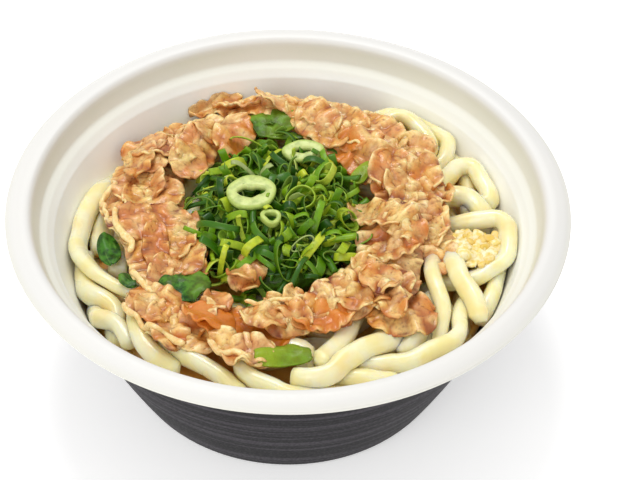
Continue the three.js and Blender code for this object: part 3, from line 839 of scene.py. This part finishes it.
def read_off(field, rows, columns, new_rows, new_columns):
    """A grid of numbers, known at some rows and columns, at others."""
    wide = np.array([np.interp(new_columns, columns, row) for row in field])
    return np.array([np.interp(new_rows, rows, column) for column in wide.T]).T


def lay_on(surface, plan, every=4):
    """Height of a node's top over a grid of places in plan, from a coarser grid of rays."""
    rows, columns = plan.shape[:2]
    i = np.unique(np.append(np.arange(0, rows, every), rows - 1))
    j = np.unique(np.append(np.arange(0, columns, every), columns - 1))
    coarse = np.array([[surface.top(*plan[a, b]) for b in j] for a in i])
    return read_off(blur(coarse, 1), i, j, np.arange(rows), np.arange(columns))


# --------------------------------------------------------------------- the meat
# What a slice is like unless its row in SLICES says otherwise.
PLAIN = {
    "swell": 0.1,  # how much larger the sheet is than its place
    "frill": 0.3,  # how much larger still at its long sides
    "fold": 1.7,  # size of the broad folds it starts with, mm
    "high": 3.6,  # how far it may stand above its place, mm
    "wrinkle": 0.4,  # size of its fine wrinkles, mm
    "flaps": 1.0,  # how many folds lie over it
    "turn": 0.4,  # how much their directions differ
    "fat": 0.35,  # how much of it is pale fat
    "side": 1,  # the side that the fat is on
    "sauce": 0.25,  # how much of it is glazed
    "thick": 1.1,  # mm
    "rise": -0.4,  # lifts it off its place, mm
    "tone": 0.0,  # lighter or darker than the rest
    "rims": [],  # rolled rims of fat: which side, and from where to where along it
    "extra": [],  # more folds: place in plan, half length and width, turn, lift
}
SLICES = {
    "meat_left_outer": {
        "fat": 0.25, "side": -1, "sauce": 0.25, "swell": 0.07, "flaps": 0.8,
        "rims": [(-1, -0.2, 0.6)],
    },
    "meat_left_back": {"fat": 0.45, "sauce": 0.65, "flaps": 1.4, "turn": 0.9, "fold": 2.2},
    "meat_left_front": {
        "tone": -0.12, "fat": 0.2, "side": -1, "sauce": 0.15, "flaps": 0.9, "fold": 1.3,
        "swell": 0.05, "rims": [(-1, -0.95, 0.0), (-1, 0.4, 0.95)],
    },
    "meat_back_outer": {
        "tone": 0.06, "fat": 0.7, "sauce": 0.55, "fold": 2.2, "flaps": 1.2,
        "rims": [(1, 0.1, 0.9)], "extra": [(-31, 53, 6.5, 4.5, 0.6, 0.5)],
    },
    "meat_back_long": {
        "tone": 0.06, "wrinkle": 0.5, "fat": 0.75, "sauce": 0.55, "turn": 0.15, "fold": 1.9,
    },
    "meat_back_inner": {"fat": 0.45, "sauce": 0.6},
    "meat_back_curl": {"fat": 0.3, "sauce": 0.5, "flaps": 1.5},
    "meat_back_flap": {"fat": 0.35, "sauce": 0.9, "flaps": 0.0, "fold": 1.0, "swell": 0.05},
    "meat_right_back": {
        "wrinkle": 0.75, "fat": 0.65, "sauce": 0.5, "swell": 0.16, "fold": 2.5, "flaps": 1.5,
        "turn": 0.9,
    },
    "meat_right_outer": {
        "wrinkle": 0.75, "fat": 0.5, "sauce": 0.5, "swell": 0.16, "fold": 2.4, "flaps": 1.4,
        "turn": 0.9,
    },
    "meat_right_tab": {
        "tone": -0.05, "fat": 0.25, "sauce": 0.85, "flaps": 0.0, "fold": 1.0, "swell": 0.04,
        "rise": 0.6,
    },
    "meat_right_front": {
        "wrinkle": 0.6, "fat": 0.6, "sauce": 0.65, "swell": 0.16, "fold": 2.4, "flaps": 1.3,
        "turn": 0.8,
    },
    "meat_right_inner": {"fat": 0.15, "sauce": 0.4},
    "meat_front_left": {
        "fat": 0.5, "side": -1, "sauce": 0.65, "flaps": 0.9, "rims": [(-1, -0.9, 0.6)],
    },
    "meat_front_amber": {
        "fat": 0.1, "sauce": 2.0, "flaps": 0.25, "fold": 1.0, "swell": 0.04, "wrinkle": 0.2,
    },
    "meat_front_fringe": {
        "fat": 1.0, "sauce": 0.1, "flaps": 0.5, "turn": 0.5, "frill": 0.45,
        "rims": [(-1, -0.9, 0.9)],
    },
    "meat_front_band": {
        "tone": -0.05, "wrinkle": 0.55, "fat": 0.55, "sauce": 0.75, "swell": 0.16, "fold": 2.5,
        "frill": 0.4, "flaps": 1.4, "turn": 0.9, "rims": [(1, -0.9, 0.2)],
    },
    "meat_inner_fold": {
        "fat": 0.3,
        "sauce": 0.1,
        "flaps": 0.0,
        "rise": 0.3,
        "extra": [
            (-15, -24, 5.0, 4.0, 1.2, 3.0),
            (3, -34, 5.5, 3.6, 0.3, 2.5),
            (13, -37, 5.0, 3.6, -0.5, 2.0),
            (-22, -35, 5.5, 3.8, 0.8, 2.0),
        ],
    },
}


def spring(points, first, second, rest, weight, move, count):
    """Adds to `move` what would bring two sets of points back to their distance."""
    gap = points[second] - points[first]
    length = np.sqrt((gap**2).sum(-1)) + 1e-9
    push = (0.5 * weight * (1 - rest / length))[..., None] * gap
    move[first] += push
    move[second] -= push
    count[first] += weight
    count[second] += weight


def neighbours(down, right):
    """Index pairs for all the points of a grid and those `down` rows and `right` columns on."""

    def ends(step):
        if step < 0:
            return ends(-step)[::-1]
        return (slice(None, -step), slice(step, None)) if step else (slice(None), slice(None))

    return tuple(zip(ends(down), ends(right)))


# How each point of a sheet holds on to those near it: rows and columns away, and how hard.
HOLDS = [(0, 1, 1), (1, 0, 1), (1, 1, 0.7), (1, -1, 0.7)]
HOLDS += [(0, 2, 0.25), (2, 0, 0.25), (2, 2, 0.15), (2, -2, 0.15)]
HOLDS += [(1, 2, 0.2), (2, 1, 0.2), (1, -2, 0.2), (2, -1, 0.2)]


def crumple(base, growth, start, low, high, rounds=50):
    """Lets a sheet that is larger than its place buckle into folds over it.

    `low` and `high` are how far it may go below and above its place.
    """
    keep = (0.03, 0.03, 0.004)  # how hard each point keeps to its place, in plan and in height
    points = base.copy()
    points[..., 2] += start
    links = []
    for down, right, weight in HOLDS:
        first, second = neighbours(down, right)
        length = np.sqrt(((base[second] - base[first]) ** 2).sum(-1))
        links.append((first, second, length * (growth[first] + growth[second]) / 2, weight))
    speed = np.zeros_like(points)
    for _ in range(rounds):
        move = np.zeros_like(points)
        count = np.full(base.shape[:2], 1e-6)
        for first, second, rest, weight in links:
            spring(points, first, second, rest, weight, move, count)
        step = 1.6 * move / count[..., None]
        step += keep * (base - points)
        speed = 0.7 * speed + step
        fast = np.sqrt((speed**2).sum(-1, keepdims=True))
        speed *= np.minimum(1, 0.4 / np.maximum(fast, 1e-9))
        points += speed
        points[..., 2] = np.clip(points[..., 2], base[..., 2] - low, base[..., 2] + high)
    return points


def finer(field, times=2):
    """A grid of numbers or points at `times` as many places each way, smoothed."""
    if field.ndim == 3:
        return np.stack([finer(field[..., k], times) for k in range(field.shape[2])], axis=-1)
    rows, columns = field.shape
    x = np.linspace(0, columns - 1, times * (columns - 1) + 1)
    y = np.linspace(0, rows - 1, times * (rows - 1) + 1)
    return blur(read_off(field, np.arange(rows), np.arange(columns), y, x), 1)


def crumpled(slab, style, seed, size, at=None, turn=0.0, lift=0.0):
    """A crumpled sheet of meat over a slab: its points, thickness and colour values.

    `size` is half its length and width, `at` its middle in plan if it isn't the whole
    slab, and `lift` how far one of its long sides stands up.
    """
    spacing = 1.1
    columns, rows = int(2 * size[0] / spacing), max(9, int(2 * size[1] / spacing))

    def laid_flat(rows, columns):
        u, v = unit_grid(rows, columns)
        return u, v, np.stack([u * size[0], v * size[1], np.full_like(u, seed * 3.0)], -1)

    u, v, flat = laid_flat(rows, columns)

    def field(scale, number, octaves=1):
        return layered(flat, scale, octaves, seed + number)

    # rounded, ragged ends and sides, and grid lines that wander
    ragged, nibble = field(5, 0), field(2.2, 3)
    power = 5 if lift == 0 else 2.6
    round_off = np.sqrt(np.clip(1 - 0.92 * np.abs(u) ** power, 0, 1))
    inside = (1 - u**4) * (1 - v**4)
    along = u * (1 + 0.06 * field(2.5, 5) + 0.04 * ragged) * size[0] + 1.3 * inside * field(8, 53)
    across = v * round_off * (1.0 + 0.14 * ragged + 0.06 * nibble) * size[1] + 1.3 * inside * field(8, 51)
    if at is None:
        plan = slab.grid(np.clip(along / size[0], -1.08, 1.08), across / size[1])
    else:
        turn += math.atan2(slab.along[1], slab.along[0])
        ahead, aside = (math.cos(turn), math.sin(turn)), (-math.sin(turn), math.cos(turn))
        plan = np.asarray(at) + along[..., None] * ahead + across[..., None] * aside
    height = blur(lay_on(slab.surface, plan, every=2), 2)
    base = np.concatenate([plan, height[..., None]], axis=-1)
    base[..., 2] += style["rise"] - style["thick"] / 2 - 0.6
    if lift:
        base[..., 2] += 0.9 + lift * ease(v + 0.3 * field(9, 61), -0.1, 1.1)

    # larger than its place, and most of all at its long sides
    frill = style["frill"] * np.abs(v) ** 3 * (0.6 + 0.8 * field(7, 12))
    growth = 1 + style["swell"] * (1 + 0.9 * field(4.5, 9)) + frill
    puffs = np.sqrt(np.abs(field(6.0, 13))) + 0.7 * np.sqrt(np.abs(field(3.4, 14))) - 0.9
    start = style["fold"] * (0.7 * field(11, 1) + 1.3 * puffs) + 0.4 * field(3, 4)
    grid = finer(crumple(base, growth, start, low=0.7, high=style["high"]))

    # the same again on the finer grid, for fine wrinkles, thickness and colours
    u, v, flat = laid_flat(*grid.shape[:2])
    rise = grid[..., 2] - finer(base)[..., 2]
    wrinkle = np.sqrt(np.abs(field(1.9, 21))) + 0.5 * np.sqrt(np.abs(field(1.0, 22))) - 0.9
    grid += grid_normals(grid) * (style["wrinkle"] * wrinkle)[..., None]
    bend = field(13, 31, 2)
    thick = style["thick"] * (0.5 + 0.5 * (1 - np.abs(v) ** 6)) * (1 + 0.25 * bend)

    local = rise - blur(rise, 60)
    # painted light and shade on the folds: paler on their tops, darker in their hollows
    painted_fold_light = np.clip(0.5 + style["tone"] + 0.34 * local + 0.22 * wrinkle + 0.15 * bend, 0, 1)
    # painted shade: darker in the hollows and the troughs of the wrinkles
    painted_crease_shade = np.clip(ease(-local, 0.3, 1.4) * 0.9 + 0.4 * (1 - ease(wrinkle + 0.9, 0.2, 0.5)), 0, 1)
    if lift:
        strip = ease(v + 0.3 * bend, 1.05 - 0.4 * style["fat"], 1.1)
    else:
        strip = ease(style["side"] * v + 0.35 * bend, 0.72 - 0.35 * style["fat"], 0.95)
    marble = ease(field(7, 11, 3), 0.42 - 0.5 * style["fat"], 0.9 - 0.5 * style["fat"])
    fat = np.clip(np.maximum(strip, marble * 0.8) * (0.4 + 0.6 * ease(local, -0.4, 0.4)), 0, 1)
    glaze = 0.75 * style["sauce"]
    sauce = ease(field(9, 23, 2), 0.62 - glaze, 1.1 - glaze) * (1 - 0.5 * fat)
    return grid, thick, {"painted_fold_light": painted_fold_light, "painted_crease_shade": painted_crease_shade, "fat": fat, "sauce": sauce}


def make_slice(node, skin, seed):
    style = {**PLAIN, **SLICES[node]}
    slab = Slab(node)
    rng = np.random.default_rng(seed + 70)
    made = [crumpled(slab, style, seed, (slab.length / 2, slab.width / 2))]
    # the folds that lie over it, no two too close
    one_flap = 170  # square millimetres of the slice to each fold
    wanted = int(round(style["flaps"] * slab.length * slab.width / one_flap))
    flaps, places = list(style["extra"]), []
    for _ in range(60 * wanted):
        u, v = rng.uniform(-0.84, 0.84), rng.uniform(-0.6, 0.6)
        place = slab.grid(np.array(u), np.array(v))
        if len(places) < wanted and all(np.hypot(*(place - other)) > 8 for other in places):
            places.append(place)
            turn = rng.normal(0, style["turn"]) + (np.pi if v < 0 else 0)
            long, wide, lift = rng.uniform(6.5, 11), rng.uniform(4, 6.5), rng.uniform(1.0, 3.0)
            flaps.append((*place, long, wide, turn, lift))
    for number, (x, y, long, wide, turn, lift) in enumerate(flaps):
        made.append(crumpled(slab, style, seed * 9 + number, (long, wide), (x, y), turn, lift))
    parts = [sheet(grid, thick) for grid, thick, _ in made]
    both = {key: [np.tile(values[key].ravel(), 2) for _, _, values in made] for key in made[0][2]}
    # the rolled rims of fat
    for side, start, end in style["rims"]:
        way = np.linspace(start, end, max(4, int(abs(end - start) * slab.length / 2 / 3.2)))
        swing = rng.normal(0, 1.5, (2, len(way)))
        across = side * (0.94 + swing[0] / slab.width)
        plan = slab.grid(way, across)
        tops = [slab.surface.top(x, y) + 0.6 * abs(up) for (x, y), up in zip(plan, swing[1])]
        line, size = np.column_stack([plan, tops]), rng.uniform(1.7, 2.3)
        rim_points, rim_faces = tube(line, size, rng, around=12, finer=5)
        rim_points += 0.55 * np.stack([noise(rim_points, 2.4, seed + k) for k in range(3)], axis=-1)
        parts.append((rim_points, rim_faces))
        bumpy = noise(rim_points, 2.5, seed + 5)
        # the rims take painted light as fold tops, and no painted crease shade
        amounts = {
            "painted_fold_light": 0.75 + 0.2 * bumpy,
            "painted_crease_shade": 0 * bumpy,
            "fat": 0.85 + 0.15 * bumpy,
            "sauce": 0.25 * ease(bumpy, 0, 1),
        }
        for key, amount in amounts.items():
            both[key].append(amount)
    points, faces = joined(parts)
    points = keep_inside(points)
    both = {key: np.concatenate(amounts) for key, amounts in both.items()}
    piece = make_mesh(node.replace("meat", "slice"), points, faces, both, [skin])
    if style["rims"]:
        weld(piece)
    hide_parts(node)
    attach(piece, "root")


# -------------------------------------------------------------- the spring onion
def ring_piece(rng, long, short, tall, wall, arc=1.0):
    """A cut across a hollow onion leaf: a flattened ring, or part of one where `arc` is under 1."""
    closed = arc >= 1
    count = 30 if closed else max(8, int(30 * arc))
    angle = np.linspace(0, 2 * np.pi * arc, count, endpoint=not closed)
    shape = 1 + 0.08 * np.sin(2 * angle + rng.uniform(0, 6))
    shape += 0.05 * np.sin(3 * angle + rng.uniform(0, 6))
    skew = rng.uniform(-0.9, 0.9)
    lift = 0.3 * np.sin(2 * angle + rng.uniform(0, 6)) + skew * np.cos(angle)
    section = [(1, -0.8), (1, 0), (1, 0.8), (0.6, 1), (-0.6, 1)]
    section += [(-1, 0.8), (-1, 0), (-1, -0.8), (-0.6, -1), (0.6, -1)]
    rings = []
    for out, up in section:
        out_by = out * wall / 2
        x = (long / 2 * shape + out_by) * np.cos(angle)
        y = (short / 2 * shape + out_by) * np.sin(angle)
        z = up * tall / 2 + lift
        rings.append(np.stack([x, y, z], axis=-1))
    grid = np.stack(rings, axis=1)
    faces = tube_faces(count, len(section), closed)
    inner = np.tile([0.0, 0, 0, 0.5, 0.9, 1, 1, 1, 0.9, 0.5], count)
    return grid.reshape(-1, 3), faces, inner


def tube_faces(count, around, closed):
    """Quads round a tube of `count` sections; an open one gets its two ends closed."""
    faces = []
    for i in range(count if closed else count - 1):
        a, b = i * around, (i + 1) % count * around
        for j in range(around):
            k = (j + 1) % around
            faces.append((a + j, a + k, b + k, b + j))
    if not closed:
        half = around // 2
        for base, flip in ((0, 1), ((count - 1) * around, -1)):
            for j in range(half - 1):
                quad = (base + j, base + around - 1 - j, base + around - 2 - j, base + j + 1)
                faces.append(quad[::flip])
    return np.array(faces)


def strip_piece(rng, length, wide, wall):
    """A short length of leaf, cupped across and bent along."""
    count = 12
    bend = rng.uniform(0.1, 0.5) * rng.choice([-1, 1])
    over = [(-1, 0.0), (-0.6, 0.28), (0, 0.4), (0.6, 0.28), (1, 0.0)]
    section = np.array(over + [(0.6, -0.02), (0, 0.08), (-0.6, -0.02)])
    rings = []
    for t in np.linspace(-1, 1, count):
        x = t * length / 2
        y = section[:, 0] * wide / 2 + bend * length * 0.25 * t * t
        z = section[:, 1] * wide * 0.6 + wall * (section[:, 1] > 0.1) + 0.15 * length * bend * t
        rings.append(np.stack([np.full(len(section), x), y, z], axis=-1))
    inner = np.tile([0.3, 0, 0, 0, 0.3, 1, 1, 1.0], count)
    return np.stack(rings).reshape(-1, 3), tube_faces(count, len(section), False), inner


def turned(points, spin, tilt, roll, place):
    """Points rolled about their own upright axis, tilted, spun and moved to a place."""
    turn = Matrix.Rotation(spin, 3, "Z") @ Matrix.Rotation(tilt, 3, "X") @ Matrix.Rotation(roll, 3, "Z")
    return points @ np.array(turn).T + np.asarray(place)


def make_onions(skin, core_skin):
    rng = np.random.default_rng(21)
    heap = Surface("onion_heap")
    low, high = box_mm("onion_heap")
    middle, half = (low + high) / 2, (high - low) / 2
    parts, inner, shade, pale = [], [], [], []

    def add(points, faces, inside, tone, light):
        parts.append((points, faces))
        inner.append(inside)
        shade.append(np.full(len(points), tone))
        pale.append(np.full(len(points), light))

    def height(x, y):
        return heap.top(x, y, missing=low[2] + 2)

    # places over the heap, no two closer than a few millimetres, in three layers
    for layer, (count, gap, down) in enumerate([(190, 4.2, 4.8), (170, 4.6, 2.6), (140, 4.8, 1.0)]):
        chosen = []
        tries = 0
        while len(chosen) < count and tries < 12000:
            tries += 1
            u, v = rng.uniform(-1, 1, 2)
            if u * u + v * v > (1.04 - 0.1 * layer) ** 2:
                continue
            x, y = middle[0] + u * half[0], middle[1] + v * half[1]
            if all((x - a) ** 2 + (y - b) ** 2 > gap * gap for a, b in chosen):
                chosen.append((x, y))
        for x, y in chosen:
            z = height(x, y) - down + rng.uniform(-0.8, 0.8)
            kind = rng.uniform()
            tone = float(np.clip(rng.normal(0.48, 0.3), 0.02, 1))
            if kind < 0.36:
                long = rng.uniform(5.5, 10)
                short = long * rng.uniform(0.3, 0.8)
                tall, wall = rng.uniform(2.0, 3.8), rng.uniform(0.4, 0.6)
                made = ring_piece(rng, long, short, tall, wall)
                tilt = rng.uniform(0.5, 1.5)
            elif kind < 0.87:
                long = rng.uniform(9, 17)
                short = long * rng.uniform(0.35, 0.75)
                tall, wall = rng.uniform(1.5, 3.0), rng.uniform(0.4, 0.6)
                made = ring_piece(rng, long, short, tall, wall, arc=rng.uniform(0.35, 0.6))
                tilt = rng.uniform(0.5, 1.5)
            else:
                made = strip_piece(rng, rng.uniform(9, 16), rng.uniform(1.8, 3.2), 0.5)
                tilt = rng.uniform(-0.5, 0.5)
            spin, roll = rng.uniform(0, 2 * np.pi), rng.uniform(0, 2 * np.pi)
            light = 0.0 if rng.uniform() < 0.96 else rng.uniform(0.3, 0.7)
            add(turned(made[0], spin, tilt, roll, (x, y, z)), made[1], made[2], tone, light)
    # single rings that stand out: the first is the small pale one near the middle
    for x, y, long, wall, tall, tilt, tone, light in (
        (-6, -4, 5.6, 1.5, 2.6, 0.15, 0.8, 0.5),
        (-24, -18, 9.0, 0.6, 3.0, 1.0, 0.95, 0.1),
        (-12, -14, 8.0, 0.6, 2.8, 1.2, 0.95, 0.0),
        (12, 22, 9.0, 0.6, 2.6, 0.7, 0.9, 0.1),
        (-20, 28, 8.0, 0.6, 2.8, 0.9, 0.95, 0.0),
        (20, -12, 8.0, 0.6, 2.8, 0.8, 0.9, 0.0),
        (4, 8, 9.5, 0.6, 3.2, 0.6, 0.75, 0.0),
    ):
        made = ring_piece(rng, long, long * 0.9, tall, wall)
        small = long < 6
        spin, rise = (0.3, 2.6) if small else (rng.uniform(0, 6.3), 0.8)
        points = turned(made[0], spin, tilt, 0.3, (x, y, height(x, y) + rise))
        add(points, made[1], made[2], tone, light)
    points, faces = joined(parts)
    values = {"inner": inner, "shade": shade, "pale": pale}
    values = {key: np.concatenate(amounts) for key, amounts in values.items()}
    onions = make_mesh("onion_cuts", points, faces, values, [skin])

    # the core: the heap's own shape, smaller all round and lumpy
    around, inset, below_top, below_foot = 64, 0.9, 4.6, 4.0
    angle = circle(around)
    over = [(share, True) for share in np.linspace(0, 1, 26)]
    under = [(share, False) for share in np.linspace(0.97, 0, 5)]
    grid = []
    for share, on_top in over + under:
        x = middle[0] + half[0] * inset * share * np.cos(angle)
        y = middle[1] + half[1] * inset * share * np.sin(angle)
        foot = low[2] - below_foot
        grid.append([(a, b, height(a, b) - below_top if on_top else foot) for a, b in zip(x, y)])
    flat = np.array(grid).reshape(-1, 3)
    flat[:, 2] += 0.9 * layered(flat, 5, seed=6)
    # dark green: painted shade for the gaps deep in the heap
    values = {"shade": np.full(len(flat), 0.12), "rib": np.zeros(len(flat))}
    faces = grid_faces(len(grid), around, closed=True)
    core = make_mesh("onion_core", flat, faces, values, [core_skin])
    weld(core)
    for piece in (onions, core):
        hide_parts("onion_heap")
        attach(piece, "root")


def make_large_rings(skin):
    """The two large pale cuts that lie on the heap, each where its CAD solid is."""
    around, tall = 72, 1.9
    angle = circle(around)
    for node, hole, lean, spin in (
        ("onion_ring_large", 0.56, 0.12, 0.12),
        ("onion_ring_back", 0.36, 0.35, 0.08),
    ):
        low, high = box_mm(node)
        size = high - low
        wobble = 1 + 0.03 * np.sin(2 * angle + 1) + 0.02 * np.sin(5 * angle)
        wavy = 1 + 0.2 * np.sin(3 * angle + 0.6) + 0.08 * np.sin(7 * angle)
        rings = []
        profile = [(0, -1), (0.5, -1), (0.94, -0.9), (1, -0.4), (1, 0.4)]
        profile += [(0.94, 0.9), (0.7, 1), (0.3, 1.0), (0.06, 0.9)]
        for out, up in profile:
            share_x = hole + (1 - hole) * out
            share_y = hole * 0.5 * (1 - out) * wavy + out * wobble
            x = size[0] / 2 * share_x * wobble * np.cos(angle)
            y = size[1] / 2 * share_y * np.sin(angle)
            rings.append(np.stack([x, y, np.full(around, up * tall / 2)], axis=-1))
        grid = np.stack(rings, axis=1)
        faces = tube_faces(around, len(profile), True)
        points = grid.reshape(-1, 3)
        points[:, 2] += 0.15 * noise(points, 6, 2)
        points = turned(points, spin, 0.0, 0.0, (0, 0, 0))
        points = points @ np.array(Matrix.Rotation(lean, 3, "X")).T + (low + high) / 2
        edge = np.tile([0.35 if 0.9 < o else 0.0 for o, _ in profile], around)
        layers = np.tile([o for o, _ in profile], around)
        values = {
            "inner": np.full(len(points), 0.5),
            "shade": 0.85 - 0.3 * edge,
            "pale": 0.92 - 0.8 * edge - 0.2 * layers,
        }
        piece = make_mesh(node.replace("onion", "cut"), points, faces, values, [skin])
        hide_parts(node)
        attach(piece, "root")


# ------------------------------------------------------------ leaves and ginger
# How each leaf piece looks: how bright it is, how square its corners are, and how far
# it narrows towards one end.
LEAVES = {
    "leaf_back": {"shade": 0.35, "square": 6, "narrow": 0.0},
    "leaf_back_strip": {"shade": 0.3, "square": 5, "narrow": 0.2},
    "leaf_left": {"shade": 0.0, "square": 2.3, "narrow": 0.15},
    "leaf_left_front": {"shade": 0.05, "square": 4, "narrow": 0.1},
    "leaf_left_knot": {"shade": 0.15, "square": 2.6, "narrow": 0.1},
    "leaf_front": {"shade": 0.6, "square": 5, "narrow": 0.1},
    "leaf_inner_strip": {"shade": 0.1, "square": 5, "narrow": 0.0},
    "leaf_right": {"shade": 0.8, "square": 3, "narrow": 0.5},
}


def make_leaf(node, style, skin, seed):
    slab = Slab(node, bins=6)
    u, v = unit_grid(44, 64)
    flat = np.stack([u * slab.length / 2, v * slab.width / 2, 0 * u], -1)
    bend, crumple_by = noise(flat, 8, seed), noise(flat, 3.5, seed + 4)
    corner = (1 - 0.985 * np.abs(u) ** style["square"]) ** (1 / style["square"])
    narrowed = v * corner * (1 - style["narrow"] * (0.5 + 0.5 * u))
    sides = narrowed * (1 + 0.12 * bend + 0.12 * crumple_by)
    plan = slab.grid(u * (1 + 0.05 * bend), sides)
    top = blur(lay_on(slab.surface, plan), 12)
    height = top - 0.5 + 1.1 * bend + 0.7 * crumple_by
    grid = np.concatenate([plan, height[..., None]], axis=-1)
    points, faces = sheet(grid, np.full(u.shape, 0.7))
    veins = noise(flat * (0.12, 1.0, 1.0), 0.55, seed + 8)
    # lighter where the leaf bends up and darker in its dips: painted light and shade
    values = {
        "shade": np.tile(np.clip(style["shade"] + 0.22 * bend + 0.15 * crumple_by, 0, 1).ravel(), 2),
        "rib": np.tile(ease(veins, 0.1, 0.8).ravel(), 2),
    }
    piece = make_mesh(node.replace("leaf", "green"), points, faces, values, [skin])
    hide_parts(node)
    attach(piece, "root")


def unit_ball(rings, around):
    """Points of a ball of radius 1, ring by ring from its lowest point, and its quads."""
    up, angle = np.meshgrid(np.linspace(-0.5, 0.5, rings) * np.pi, circle(around), indexing="ij")
    points = [np.cos(up) * np.cos(angle), np.cos(up) * np.sin(angle), np.sin(up)]
    return np.stack(points, axis=-1).reshape(-1, 3), grid_faces(rings, around, closed=True)


def make_ginger(skin):
    """Grated ginger: soft flakes pressed into a lump over a smaller core."""
    rng = np.random.default_rng(8)
    low, high = box_mm("ginger")
    middle, half = (low + high) / 2, (high - low) / 2
    sunk = (0, 0, 0.6)
    pebble, pebble_faces = unit_ball(14, 22)
    parts, stain = [], []
    for k in range(70):
        way = rng.normal(size=3)
        way[2] = abs(way[2]) * 0.9 - 0.1
        way /= np.linalg.norm(way)
        place = middle - sunk + way * half * rng.uniform(0.66, 0.9)
        # the first is one larger chunk at the left
        if k == 0:
            size = (5.2, 2.9, 2.0)
            place = middle + (-0.62 * half[0], -0.25 * half[1], 0.42 * half[2])
        else:
            size = (rng.uniform(1.6, 3.6), rng.uniform(1.2, 2.3), rng.uniform(0.6, 1.3))
        points = np.sign(pebble) * np.abs(pebble) ** 0.6 * size
        points = points * (1 + 0.3 * layered(points + place, 2.6, 2, 5))[:, None]
        spin, tilt, roll = rng.uniform(0, 6.3), rng.uniform(-0.7, 0.7), rng.uniform(0, 6.3)
        parts.append((turned(points, spin, tilt, roll, place), pebble_faces))
        stain.append(np.full(len(points), 0.0 if k == 0 else ease(rng.normal(0.15, 0.4), 0.0, 1.0)))
    ball, ball_faces = unit_ball(24, 48)
    ball = ball * half
    ball *= (0.84 + 0.1 * layered(ball, 3.0, 2, 3))[:, None]
    parts.append((ball + middle - sunk, ball_faces))
    stain.append(np.full(len(ball), 0.7))
    points, faces = joined(parts)
    piece = make_mesh("ginger_lump", points, faces, {"stain": np.concatenate(stain)}, [skin])
    weld(piece)
    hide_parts("ginger")
    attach(piece, "root")


# ---------------------------------------------------------------- floor and light
def area_light(name, place, aim, size, power):
    data = bpy.data.lights.new(name, "AREA")
    data.shape = "DISK"
    data.size = size
    data.energy = power
    light = bpy.data.objects.new(name, data)
    light.location = place
    light.rotation_mode = "QUATERNION"
    light.rotation_quaternion = (Vector(aim) - Vector(place)).to_track_quat("-Z", "Y")
    bpy.context.scene.collection.objects.link(light)


def make_studio():
    size = 6000.0  # half the floor's side, mm
    corners = [(-size, -size, 0), (size, -size, 0), (size, size, 0), (-size, size, 0)]
    floor = make_mesh("floor", corners, [(0, 1, 2, 3)], {}, [floor_paint()])
    world = bpy.data.worlds.new("studio")
    world.use_nodes = True
    sky = world.node_tree.nodes["Background"]
    sky.inputs["Color"].default_value = (1.0, 0.995, 0.985, 1)
    sky.inputs["Strength"].default_value = 0.68
    bpy.context.scene.world = world
    aim = (0, 0, 0.05)
    area_light("top", (-0.1, 0.3, 0.95), aim, 0.45, 4.0)
    area_light("front", (-0.35, -0.75, 0.6), aim, 0.6, 2.4)
    view = bpy.context.scene.view_settings
    view.view_transform = "Standard"
    view.look = "None"


make_camera()
make_bowl(white_foam(), dark_foam())
make_noodles(noodle_skin())
meat = meat_skin()
for number, node in enumerate(SLICES):
    make_slice(node, meat, number + 1)
onion, leaf = onion_skin(), leaf_skin()
make_onions(onion, leaf)
make_large_rings(onion)
for number, (node, style) in enumerate(LEAVES.items()):
    make_leaf(node, style, leaf, number + 1)
make_ginger(ginger_skin())
make_studio()
